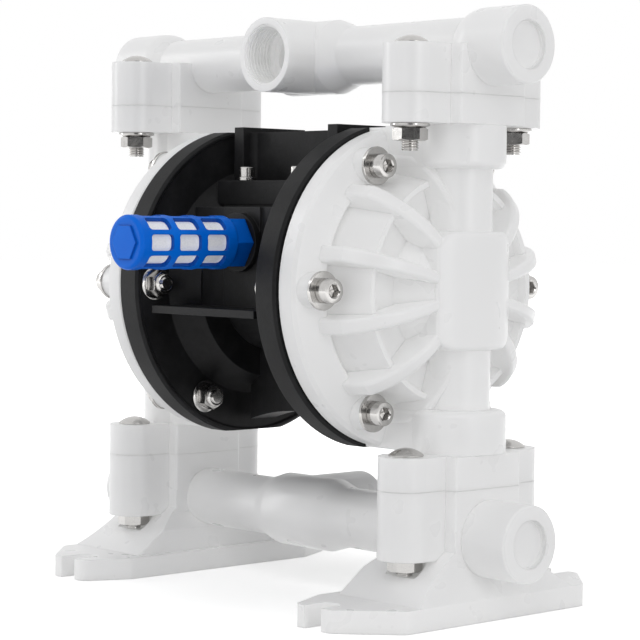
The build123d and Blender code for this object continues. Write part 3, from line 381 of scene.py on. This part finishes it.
def makeDarkCard(plan):
    card = plan["darkCard"]
    facing = towards(plan["aimAt"], card["from"], "Z").to_matrix()
    mesh = bmesh.new()
    bmesh.ops.create_grid(mesh, x_segments=1, y_segments=1, size=0.5)
    bmesh.ops.scale(mesh, verts=mesh.verts, vec=(card["width"], card["height"], 1))
    bmesh.ops.rotate(mesh, verts=mesh.verts, matrix=facing)
    bmesh.ops.translate(mesh, verts=mesh.verts, vec=card["from"])
    flag = finishPiece("darkCard", mesh)
    cloth = newMaterial("darkCloth", base_color=card["colour"], roughness=1.0,
                        specular_ior_level=0.0)[0]
    flag.data.materials.append(cloth)
    flag.visible_camera = flag.visible_diffuse = False
    flag.visible_transmission = flag.visible_shadow = False


def seenDirectly(wire):
    # 1 for what the eye or a mirror sees, 0 for the light that falls on the pump
    camera = wire.node("LightPath", output="Is Camera Ray")
    return wire.sums("MAXIMUM", camera, wire.node("LightPath", output="Is Glossy Ray"))


def makeRoom(plan):
    bpy.context.scene.view_settings.view_transform = "Standard"
    world = bpy.data.worlds.new("room")
    bpy.context.scene.world = world
    world.use_nodes = True
    backdrop = world.node_tree.nodes["Background"]
    backdrop.inputs["Color"].default_value = (1, 1, 1, 1)
    wire = Wire(world.node_tree)
    through = wire.node("LightPath", output="Is Transmission Ray")
    seen = wire.sums("MAXIMUM", seenDirectly(wire), through)
    level = plan["ambient"] + (1 - plan["ambient"]) * seen
    world.node_tree.links.new(level.socket, backdrop.inputs["Strength"])


# half width and fade in metres; the floor grows to pure white away from the pump
floorLook = {"reach": 6.0, "drop": 0.2, "colour": (0.86, 0.86, 0.86, 1), "gloss": 0.9,
             "near": 0.36, "far": 1.0, "fade": 0.9}


def makeFloor(look):
    mesh = bmesh.new()
    bmesh.ops.create_grid(mesh, x_segments=1, y_segments=1, size=look["reach"])
    bmesh.ops.translate(mesh, verts=mesh.verts, vec=(0, 0, -look["drop"] * mm))
    floor = finishPiece("floor", mesh)
    material, shader, wire = newMaterial("paleFloor", roughness=look["gloss"],
                                         base_color=look["colour"], specular_ior_level=0.0,
                                         emission_strength=1.0)
    distance = wire.node("VectorMath", {"operation": "LENGTH"}, {0: objectPoint(wire)}, "Value")
    rise = distance * ((look["far"] - look["near"]) / look["fade"])
    lift = wire.sums("MINIMUM", look["near"] + rise, look["far"])
    connect(shader, emission_color=mixColour(wire, seenDirectly(wire) * lift, (0, 0, 0, 1),
                                             (1, 1, 1, 1)))
    floor.data.materials.append(material)


def scaled(points):
    return [(radius * mm, height * mm) for radius, height in points]


def lathe(profile, steps=36, closed=False):
    # spins (radius, height) points in millimetres about Z; a closed profile makes a ring
    mesh = bmesh.new()
    points = [mesh.verts.new((radius, 0, height)) for radius, height in scaled(profile)]
    pairs = list(zip(points, points[1:])) + ([(points[-1], points[0])] if closed else [])
    line = [mesh.edges.new(pair) for pair in pairs]
    bmesh.ops.spin(mesh, geom=points + line, cent=(0, 0, 0), axis=(0, 0, 1), angle=math.tau,
                   steps=steps, use_merge=True)
    bmesh.ops.remove_doubles(mesh, verts=mesh.verts, dist=mergeGap)
    bmesh.ops.recalc_face_normals(mesh, faces=mesh.faces)
    return mesh


def snapToHexagon(mesh, low, high, reach):
    # pulls a socket's round wall out to its six flats; all in millimetres
    for vert in mesh.verts:
        radius = math.hypot(vert.co.x, vert.co.y)
        if low * mm < vert.co.z < high * mm and 0.2 * mm < radius < reach * mm:
            turn = math.atan2(vert.co.y, vert.co.x) + math.pi / 6
            turn = turn % (math.pi / 3) - math.pi / 6
            vert.co.x /= math.cos(turn)
            vert.co.y /= math.cos(turn)


def shave(mesh, point, facing):
    # cuts away what stands past a plane, and closes the cut
    geometry = mesh.verts[:] + mesh.edges[:] + mesh.faces[:]
    cut = bmesh.ops.bisect_plane(mesh, geom=geometry, plane_co=point, plane_no=facing,
                                 clear_outer=True)
    edges = [item for item in cut["geom_cut"] if isinstance(item, bmesh.types.BMEdge)]
    bmesh.ops.edgenet_fill(mesh, edges=edges)


def planeTo(mesh, flats):
    # shaves a turned blank to a hexagon, which leaves the curved chamfers at its corners
    for side in range(6):
        angle = math.radians(60 * side + 30)
        facing = Vector((math.cos(angle), math.sin(angle), 0))
        shave(mesh, facing * flats * mm / 2, facing)


# a thread's form as shares of its pitch
threadForm = {"pitch": 1.0, "depth": 0.5, "crest": (0.4, 0.6), "steps": 24}


def threadedRod(radius, length, form=threadForm):
    # winds a thread up a helix, trims both ends flat and tapers the far one
    pitch, steps = form["pitch"] * mm, form["steps"]
    outer, length = radius * mm, length * mm
    root = outer - form["depth"] * pitch
    mesh = bmesh.new()
    points = []
    for turn in range(int(length / pitch) + 3):
        for reach, rise in ((root, 0.0), *((outer, rise) for rise in form["crest"])):
            points.append(mesh.verts.new((reach, 0, (turn - 1.5 + rise) * pitch)))
    line = [mesh.edges.new(pair) for pair in zip(points, points[1:])]
    bmesh.ops.spin(mesh, geom=points + line, cent=(0, 0, 0), axis=(0, 0, 1),
                   dvec=(0, 0, pitch / steps), angle=math.tau, steps=steps)
    bmesh.ops.remove_doubles(mesh, verts=mesh.verts, dist=mergeGap)
    shave(mesh, (0, 0, length), (0, 0, 1))
    shave(mesh, (0, 0, 0), (0, 0, -1))
    for vert in mesh.verts:
        limit = root + max(0, length - vert.co.z)
        reach = math.hypot(vert.co.x, vert.co.y)
        if reach > limit:
            vert.co.x *= limit / reach
            vert.co.y *= limit / reach
    return mesh


def addCopy(target, source, turn):
    # puts a turned copy of one mesh into another
    data = bpy.data.meshes.new("copy")
    source.to_mesh(data)
    data.transform(turn)
    target.from_mesh(data)
    bpy.data.meshes.remove(data)


def aim(x, y, z, direction):
    # a place in millimetres, with Z turned to a direction
    turn = Vector((0, 0, 1)).rotation_difference(Vector(direction)).to_matrix().to_4x4()
    return Matrix.Translation(Vector((x, y, z)) * mm) @ turn


def joinAt(places, *shapes):
    mesh = bmesh.new()
    for place in places:
        for shape in shapes:
            addCopy(mesh, shape, place)
    return mesh


def fit(name, mesh, slotName, *nodes):
    # one piece in its finish, standing for parts of the frame or added to them
    piece = finishPiece(name, mesh, smoothLimit)
    piece.data.materials.append(materials[slotName])
    if nodes:
        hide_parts(*nodes)
    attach(piece, "pump")
    return piece


def socketHead(spec):
    # outline of a screw's head, from the bottom of its socket to the face that bears
    head, edge, top = spec["head"], spec["headEdge"], spec["headHeight"]
    socket, floor = spec["socket"] / 2, top - spec["socketDepth"]
    skirtIn, skirtUp = spec["skirt"]
    rounded = [(head - share * edge, top - share * edge) for share in spec["edgeSteps"]]
    return [(0, floor - spec["socketCone"]), (socket, floor), (socket, top - spec["mouthDrop"]),
            (socket + spec["mouthWiden"], top), (head - edge, top), *rounded, (head, top - edge),
            (head, skirtUp), (head - skirtIn, 0)]


def cutHexagon(mesh, spec):
    # gives the socket its six flats
    top = spec["headHeight"]
    snapToHexagon(mesh, top - spec["socketDepth"] - spec["socketCone"] / 2,
                  top - spec["mouthDrop"] / 2, (spec["socket"] + spec["mouthWiden"]) / 2)


def shankOutline(spec, grip):
    # plain shank, which runs a little way into the threaded part
    radius, end = spec["shank"] - spec["slack"], spec["thread"] - grip - spec["overlap"]
    return [(radius, 0), (radius, end), (0, end)]


def addThread(mesh, spec, grip):
    # winds the thread on the last stretch of the shank
    place = Matrix.Translation((0, 0, (spec["thread"] - grip) * mm))
    rod = threadedRod(spec["shank"], spec["thread"])
    addCopy(mesh, rod, place @ Matrix.Rotation(math.pi, 4, "X"))


def roundRing(inner, outer, low, high, edge=0.25):
    return lathe([(inner, low), (outer - edge, low), (outer, low + edge), (outer, high - edge),
                  (outer - edge, high), (inner + edge, high), (inner, high - edge)], closed=True)


# how a nut's corners and a flange's rim are broken; shares, millimetres and degrees
nutForm = {"faceShare": 0.485, "chamfer": 28, "cornerSlack": 0.05, "holeEdge": 0.35, "steps": 48,
           "flangeEdge": 0.3, "rimShare": 0.55, "coneShare": 0.7, "coneIn": 0.25}


def nutBody(hole, flats, low, height, turn=0.0):
    # hexagon with both faces chamfered, turned by some degrees
    corner = flats / 2 / math.cos(math.pi / 6) + nutForm["cornerSlack"]
    face = flats * nutForm["faceShare"]
    drop = (corner - face) * math.tan(math.radians(nutForm["chamfer"]))
    top, broken = low + height, nutForm["holeEdge"]
    mesh = lathe([(hole, low), (face, low), (corner, low + drop), (corner, top - drop),
                  (face, top), (hole + broken, top), (hole, top - broken)],
                 steps=nutForm["steps"], closed=True)
    planeTo(mesh, flats)
    bmesh.ops.rotate(mesh, verts=mesh.verts, matrix=Matrix.Rotation(math.radians(turn), 3, "Z"))
    return mesh


def nutFlange(hole, outer, flats, height):
    # flange that rises in a cone to the hexagon
    edge = nutForm["flangeEdge"]
    return lathe([(hole, 0), (outer - edge, 0), (outer, edge),
                  (outer, height * nutForm["rimShare"]),
                  (outer - nutForm["coneIn"], height * nutForm["coneShare"]),
                  (flats / 2, height), (hole, height)], closed=True)


# socket screws, washers and locking nuts round the rims; places in degrees, all else in millimetres
rimHardware = {"shaftHeight": 132.3, "circle": 58.0, "through": (0, 180, 240, 300),
               "tapped": (60, 120), "headSeat": 69.0, "throughGrip": 38.7, "tappedGrip": 27.7,
               "head": 5.0, "headHeight": 6.0, "headEdge": 0.6, "edgeSteps": (0.3,),
               "skirt": (0.3, 0.4), "socket": 5.0, "socketDepth": 3.4, "socketCone": 0.9,
               "mouthDrop": 0.4, "mouthWiden": 0.62,
               "shank": 3.0, "slack": 0.05, "thread": 9.0, "overlap": 1.0,
               "washerSeat": 67.4, "washer": 7.9, "washerThick": 1.6,
               "nutSeat": 39.4, "flats": 10.0, "nutHeight": 5.0, "flange": 7.2,
               "flangeHeight": 1.5,
               "collarHole": 3.5, "collar": 4.3, "collarSunk": 0.3,
               "collarOutside": ((0.0, 0.9), (0.25, 1.5), (0.55, 1.8)),
               "collarMouth": ((0.15, 1.8), (0.0, 1.6)),
               "insert": 3.49, "insertSunk": 0.2, "insertRise": 1.2, "insertEdge": 0.12}


def capScrew(spec, grip):
    mesh = lathe(socketHead(spec) + shankOutline(spec, grip))
    cutHexagon(mesh, spec)
    addThread(mesh, spec, grip)
    return mesh


def nutCollar(spec, seat):
    # the rolled collar that holds the locking insert
    hole, outer, foot = spec["collarHole"], spec["collar"], seat - spec["collarSunk"]
    outside = [(outer - drop, seat + rise) for drop, rise in spec["collarOutside"]]
    mouth = [(hole + step, seat + rise) for step, rise in spec["collarMouth"]]
    return lathe([(hole, foot), (outer, foot), *outside, *mouth], closed=True)


def rimSpots(spec, x, angles, side, way):
    # places round one rim; way is 1 for what faces out and -1 for what faces the middle
    spots = []
    for angle in angles:
        turn = math.radians(angle)
        spots.append(aim(side * x, spec["circle"] * math.cos(turn),
                         spec["shaftHeight"] + spec["circle"] * math.sin(turn),
                         (side * way, 0, 0)))
    return spots


def makeRimHardware(spec):
    longScrew = capScrew(spec, spec["throughGrip"])
    shortScrew = capScrew(spec, spec["tappedGrip"])
    washer = roundRing(spec["shank"], spec["washer"], 0, spec["washerThick"])
    seat = spec["flangeHeight"] + spec["nutHeight"]
    flange = nutFlange(spec["shank"], spec["flange"], spec["flats"], spec["flangeHeight"])
    hexagon = nutBody(spec["shank"], spec["flats"], spec["flangeHeight"], spec["nutHeight"])
    collar = nutCollar(spec, seat)
    insert = roundRing(spec["shank"], spec["insert"], seat - spec["insertSunk"],
                       seat + spec["insertRise"], spec["insertEdge"])
    for side, word in ((1, "right"), (-1, "left")):
        heads = joinAt(rimSpots(spec, spec["headSeat"], spec["through"], side, 1), longScrew)
        for place in rimSpots(spec, spec["headSeat"], spec["tapped"], side, 1):
            addCopy(heads, shortScrew, place)
        everyAngle = spec["through"] + spec["tapped"]
        washers = joinAt(rimSpots(spec, spec["washerSeat"], everyAngle, side, 1), washer)
        nutSpots = rimSpots(spec, spec["nutSeat"], spec["through"], side, -1)
        nuts = joinAt(nutSpots, flange, hexagon, collar)
        fit("rimScrews_" + word, heads, "stainless", "cover_screws_" + word)
        fit("rimWashers_" + word, washers, "stainless", "cover_washers_" + word)
        fit("rimNuts_" + word, nuts, "stainless", "cover_nuts_" + word)
        fit("nutInserts_" + word, joinAt(nutSpots, insert), "black_rubber")
    print("rim screws, washers and nuts made")


# round-headed bolts through the column flanges; the turn in degrees, all else in millimetres
flangeHardware = {"reachX": 88.2, "reachY": 30.1, "head": 7.2, "headHeight": 3.3,
                  "headSkirt": 0.5, "headUnder": 0.2, "domeSteps": 8, "steps": 40,
                  "shank": 3.5, "slack": 0.05, "thread": 12.0, "overlap": 1.0,
                  "flats": 12.4, "nutTurn": -17.4, "flange": 8.0, "flangeHeight": 1.8,
                  "topSeat": 231.0, "topGrip": 42.7, "topNut": 199.3, "topNutHeight": 5.2,
                  "bottomSeat": 66.3, "bottomGrip": 48.1, "bottomNut": 24.7,
                  "bottomNutHeight": 4.9}


def domeBolt(spec, grip):
    radius, height, under = spec["head"], spec["headHeight"], spec["headUnder"]
    rise = height - spec["headSkirt"]
    ball = (radius ** 2 + rise ** 2) / (2 * rise)
    lean = math.asin(radius / ball) / spec["domeSteps"]
    dome = [(ball * math.sin(step * lean), height - ball + ball * math.cos(step * lean))
            for step in range(spec["domeSteps"] + 1)]
    skirt = [(radius, under), (radius - under, 0)]
    mesh = lathe(dome + skirt + shankOutline(spec, grip), steps=spec["steps"])
    addThread(mesh, spec, grip)
    return mesh


def makeFlangeHardware(spec):
    def spots(z, way):
        return [aim(sideX * spec["reachX"], sideY * spec["reachY"], z, (0, 0, way))
                for sideX in (-1, 1) for sideY in (-1, 1)]

    hole, flats, rim, turn = spec["shank"], spec["flats"], spec["flangeHeight"], spec["nutTurn"]
    flange = nutFlange(hole, spec["flange"], flats, rim)
    topNut = nutBody(hole, flats, rim, spec["topNutHeight"], turn)
    bottomNut = nutBody(hole, flats, 0, spec["bottomNutHeight"], turn)
    topBolts = joinAt(spots(spec["topSeat"], 1), domeBolt(spec, spec["topGrip"]))
    bottomBolts = joinAt(spots(spec["bottomSeat"], 1), domeBolt(spec, spec["bottomGrip"]))
    topNuts = joinAt(spots(spec["topNut"], -1), flange, topNut)
    bottomNuts = joinAt(spots(spec["bottomNut"], -1), bottomNut)
    fit("topBolts", topBolts, "stainless", "discharge_screws")
    fit("bottomBolts", bottomBolts, "stainless", "suction_screws")
    fit("topNuts", topNuts, "stainless", "discharge_nuts")
    fit("bottomNuts", bottomNuts, "stainless", "suction_nuts")
    print("flange bolts and nuts made")


# small screws that hold the air valve down; all in millimetres
valveScrewLook = {"reachX": 16.6, "reachY": 25.0, "seat": 177.1, "washer": 4.0,
                  "washerThick": 1.5, "washerEdge": 0.2, "head": 3.5, "headHeight": 4.4,
                  "headEdge": 0.4, "edgeSteps": (), "skirt": (0.2, 0.2), "socket": 3.0,
                  "socketDepth": 2.2, "socketCone": 0.6, "mouthDrop": 0.25, "mouthWiden": 0.42,
                  "shank": 2.0, "length": 18.8, "steps": 30}


def makeValveScrews(spec):
    shank, end, thick = spec["shank"], -spec["length"], spec["washerThick"]
    screw = lathe(socketHead(spec) + [(shank, 0), (shank, end), (0, end)], steps=spec["steps"])
    cutHexagon(screw, spec)
    washer = roundRing(shank, spec["washer"], 0, thick, spec["washerEdge"])
    mesh = bmesh.new()
    for sideX in (-1, 1):
        for sideY in (-1, 1):
            place = aim(sideX * spec["reachX"], sideY * spec["reachY"], spec["seat"], (0, 0, 1))
            addCopy(mesh, washer, place)
            addCopy(mesh, screw, place @ Matrix.Translation((0, 0, thick * mm)))
    fit("valveScrews", mesh, "stainless", "valve_screws")
    print("valve screws made")


# threads cut inside the four pipe ends and the two tees; crest, foot and run-outs are shares of
# the pitch, all else is in millimetres
portThreads = {"pitch": 1.81, "depth": 0.5, "sunk": 0.05, "start": 0.1, "crest": (0.38, 0.50),
               "foot": 0.88, "steps": 48, "teeRadius": 12.1, "teeFace": 30.3, "teeInset": 0.8,
               "teeLength": 15.0, "teeRunOut": 1.0, "endRadius": 9.8, "topEnd": 124.0,
               "bottomEnd": 128.5, "endLength": 2.2, "endRunOut": 0.5,
               "topHeight": 230.6, "bottomHeight": 32.3}


def boreThread(spec, radius, length):
    # one ridge wound down a bore from its mouth, which is at Z = 0
    pitch, steps = spec["pitch"], spec["steps"]
    root, crest = radius + spec["sunk"], radius - spec["depth"]
    outline = [(root, 0), (crest, spec["crest"][0]), (crest, spec["crest"][1]),
               (root, spec["foot"])]
    mesh = bmesh.new()
    points = [mesh.verts.new((reach * mm, 0, (-spec["start"] - down * pitch) * mm))
              for reach, down in outline]
    line = [mesh.edges.new(pair) for pair in zip(points, points[1:] + points[:1])]
    bmesh.ops.contextual_create(mesh, geom=line)
    count = int(steps * (length / pitch))
    bmesh.ops.spin(mesh, geom=mesh.verts[:] + mesh.edges[:] + mesh.faces[:], cent=(0, 0, 0),
                   axis=(0, 0, 1), dvec=(0, 0, -pitch * mm / steps),
                   angle=math.tau * count / steps, steps=count)
    bmesh.ops.recalc_face_normals(mesh, faces=mesh.faces)
    return mesh


def makePortThreads(spec):
    pitch, face = spec["pitch"], spec["teeFace"] - spec["teeInset"]
    tee = boreThread(spec, spec["teeRadius"], spec["teeLength"] - pitch * spec["teeRunOut"])
    end = boreThread(spec, spec["endRadius"], spec["endLength"] - pitch * spec["endRunOut"])
    mesh = bmesh.new()
    addCopy(mesh, tee, aim(0, -face, spec["topHeight"], (0, -1, 0)))
    addCopy(mesh, tee, aim(0, face, spec["bottomHeight"], (0, 1, 0)))
    for side in (-1, 1):
        addCopy(mesh, end, aim(side * spec["topEnd"], 0, spec["topHeight"], (side, 0, 0)))
        addCopy(mesh, end, aim(side * spec["bottomEnd"], 0, spec["bottomHeight"], (side, 0, 0)))
    fit("portThreads", mesh, "natural_pp")
    print("port threads made")


# the feet slope away behind the lower nuts; Y and Z of the slope, and X across it, in millimetres
footSlope = {"top": (19.0, 28.0), "bottom": (44.9, 9.25), "boss": 24.68, "crown": 37.0,
             "front": 60.0, "across": (60.0, 113.0), "beside": ((60.0, 76.8), (99.6, 113.0)),
             "shelf": 17.9, "shelfBack": 16.0, "shelfAcross": (78.0, 98.4), "lap": 0.05}


def prism(outline, low, high):
    # an outline in Y and Z, drawn out along X
    mesh = bmesh.new()
    face = mesh.faces.new([mesh.verts.new((low * mm, y * mm, z * mm)) for y, z in outline])
    grown = bmesh.ops.extrude_face_region(mesh, geom=[face])["geom"]
    ends = [item for item in grown if isinstance(item, bmesh.types.BMVert)]
    bmesh.ops.translate(mesh, verts=ends, vec=((high - low) * mm, 0, 0))
    bmesh.ops.recalc_face_normals(mesh, faces=mesh.faces)
    return mesh


def footBlocks(spec):
    # wedges that come off under and beside each bolt boss, and the shelf that its nut seats on
    (topY, topZ), (bottomY, bottomZ) = spec["top"], spec["bottom"]
    lean = (bottomY - topY) / (topZ - bottomZ)
    front, boss, crown, lap = spec["front"], spec["boss"], spec["crown"], spec["lap"]
    bossY = topY + (topZ - boss) * lean
    shelfY = topY + (topZ - spec["shelf"]) * lean
    below = [(bossY, boss), (front, boss), (front, bottomZ), (bottomY, bottomZ)]
    beside = [(bossY, boss), (front, boss), (front, crown), (topY + lap, crown),
              (topY + lap, topZ)]
    shelf = [(spec["shelfBack"], bottomZ), (bottomY - lap, bottomZ), (shelfY - lap, spec["shelf"]),
             (spec["shelfBack"], spec["shelf"])]
    return [("DIFFERENCE", prism(below, *spec["across"])),
            *(("DIFFERENCE", prism(beside, *reach)) for reach in spec["beside"]),
            ("UNION", prism(shelf, *spec["shelfAcross"]))]


def makeFeet(spec):
    mesh = bmesh.new()
    mesh.from_mesh(frame["nodes"]["suction_manifold"].data)
    bmesh.ops.remove_doubles(mesh, verts=mesh.verts, dist=mergeGap)
    blank = finishPiece("blankFeet", mesh)
    tools = []
    for way, block in footBlocks(spec):
        tool = bmesh.new()
        for turnX, turnY in ((1, 1), (-1, 1), (1, -1), (-1, -1)):
            addCopy(tool, block, Matrix.Diagonal((turnX, turnY, 1, 1)))
        tools.append(finishPiece("footTool", tool))
        cut = blank.modifiers.new("cut", "BOOLEAN")
        cut.operation = way
        cut.solver = "EXACT"
        cut.object = tools[-1]
    bpy.context.view_layer.update()
    shaped = bmesh.new()
    shaped.from_object(blank, bpy.context.evaluated_depsgraph_get())
    for spare in [blank] + tools:
        bpy.data.objects.remove(spare)
    fit("lowerManifold", shaped, "natural_pp", "suction_manifold")
    print("lower manifold cut back behind its nuts")


# the two rubber diaphragms, each a ring of slices; all in millimetres
diaphragmLook = {"shaftHeight": 132.3, "face": 50.5, "thickness": 3.0, "bore": 5.05,
                 "edge": 54.0, "rollInner": 31.5, "rollOuter": 45.5, "rollHeight": 4.5,
                 "rollSteps": 12, "wedges": 12, "wedgeSteps": 4, "follows": 31.0, "held": 43.9}


def rollRise(spec, radius):
    # how far the round roll stands up between the plates and the clamped edge
    half = (spec["rollOuter"] - spec["rollInner"]) / 2
    away = min(abs(radius - spec["rollInner"] - half), half)
    bend = (half ** 2 + spec["rollHeight"] ** 2) / (2 * spec["rollHeight"])
    return math.sqrt(bend ** 2 - away ** 2) - bend + spec["rollHeight"]


def diaphragmWedge(spec):
    # one closed slice of the disc, spun about Z
    step = (spec["rollOuter"] - spec["rollInner"]) / spec["rollSteps"]
    roll = [spec["rollInner"] + step * turn for turn in range(spec["rollSteps"] + 1)]
    airSide = [(radius, spec["face"] + rollRise(spec, radius))
               for radius in [spec["bore"], *roll, spec["edge"]]]
    wetSide = [(radius, height + spec["thickness"]) for radius, height in reversed(airSide)]
    mesh = bmesh.new()
    points = [mesh.verts.new((radius, 0, height)) for radius, height in scaled(airSide + wetSide)]
    line = [mesh.edges.new(pair) for pair in zip(points, points[1:] + points[:1])]
    bmesh.ops.spin(mesh, geom=points + line, cent=(0, 0, 0), axis=(0, 0, 1),
                   angle=math.tau / spec["wedges"], steps=spec["wedgeSteps"])
    openEdges = [edge for edge in mesh.edges if edge.is_boundary]
    bmesh.ops.holes_fill(mesh, edges=openEdges, sides=0)
    return mesh


def makeDiaphragms(spec):
    # each disc is made as a ring of separate slices, each set in place round the shaft
    for side, direction in (("right", 1), ("left", -1)):
        place = aim(0, 0, spec["shaftHeight"], (direction, 0, 0))
        centre = place.translation
        for wedge in range(spec["wedges"]):
            mesh = diaphragmWedge(spec)
            turn = Matrix.Rotation(math.tau * wedge / spec["wedges"], 4, "Z")
            mesh.transform(place @ turn)
            outward = sum((vert.co - centre for vert in mesh.verts), Vector())
            outward = Vector((0, outward.y, outward.z)).normalized()
            piece = finishPiece(f"diaphragm{side.title()}{wedge + 1}", mesh, smoothLimit)
            piece.data.materials.append(materials["black_rubber"])
            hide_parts("diaphragm_" + side)
            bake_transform(piece)
    print("diaphragms made to bend with the shaft:", 2 * spec["wedges"], "slices")


makeCamera(cameraPlace)
makeLamps(lightPlan)
makeDarkCard(lightPlan)
makeRoom(lightPlan)
makeFloor(floorLook)
print("camera, light and floor set")
makeRimHardware(rimHardware)
makeFlangeHardware(flangeHardware)
makeValveScrews(valveScrewLook)
makePortThreads(portThreads)
makeFeet(footSlope)
makeDiaphragms(diaphragmLook)
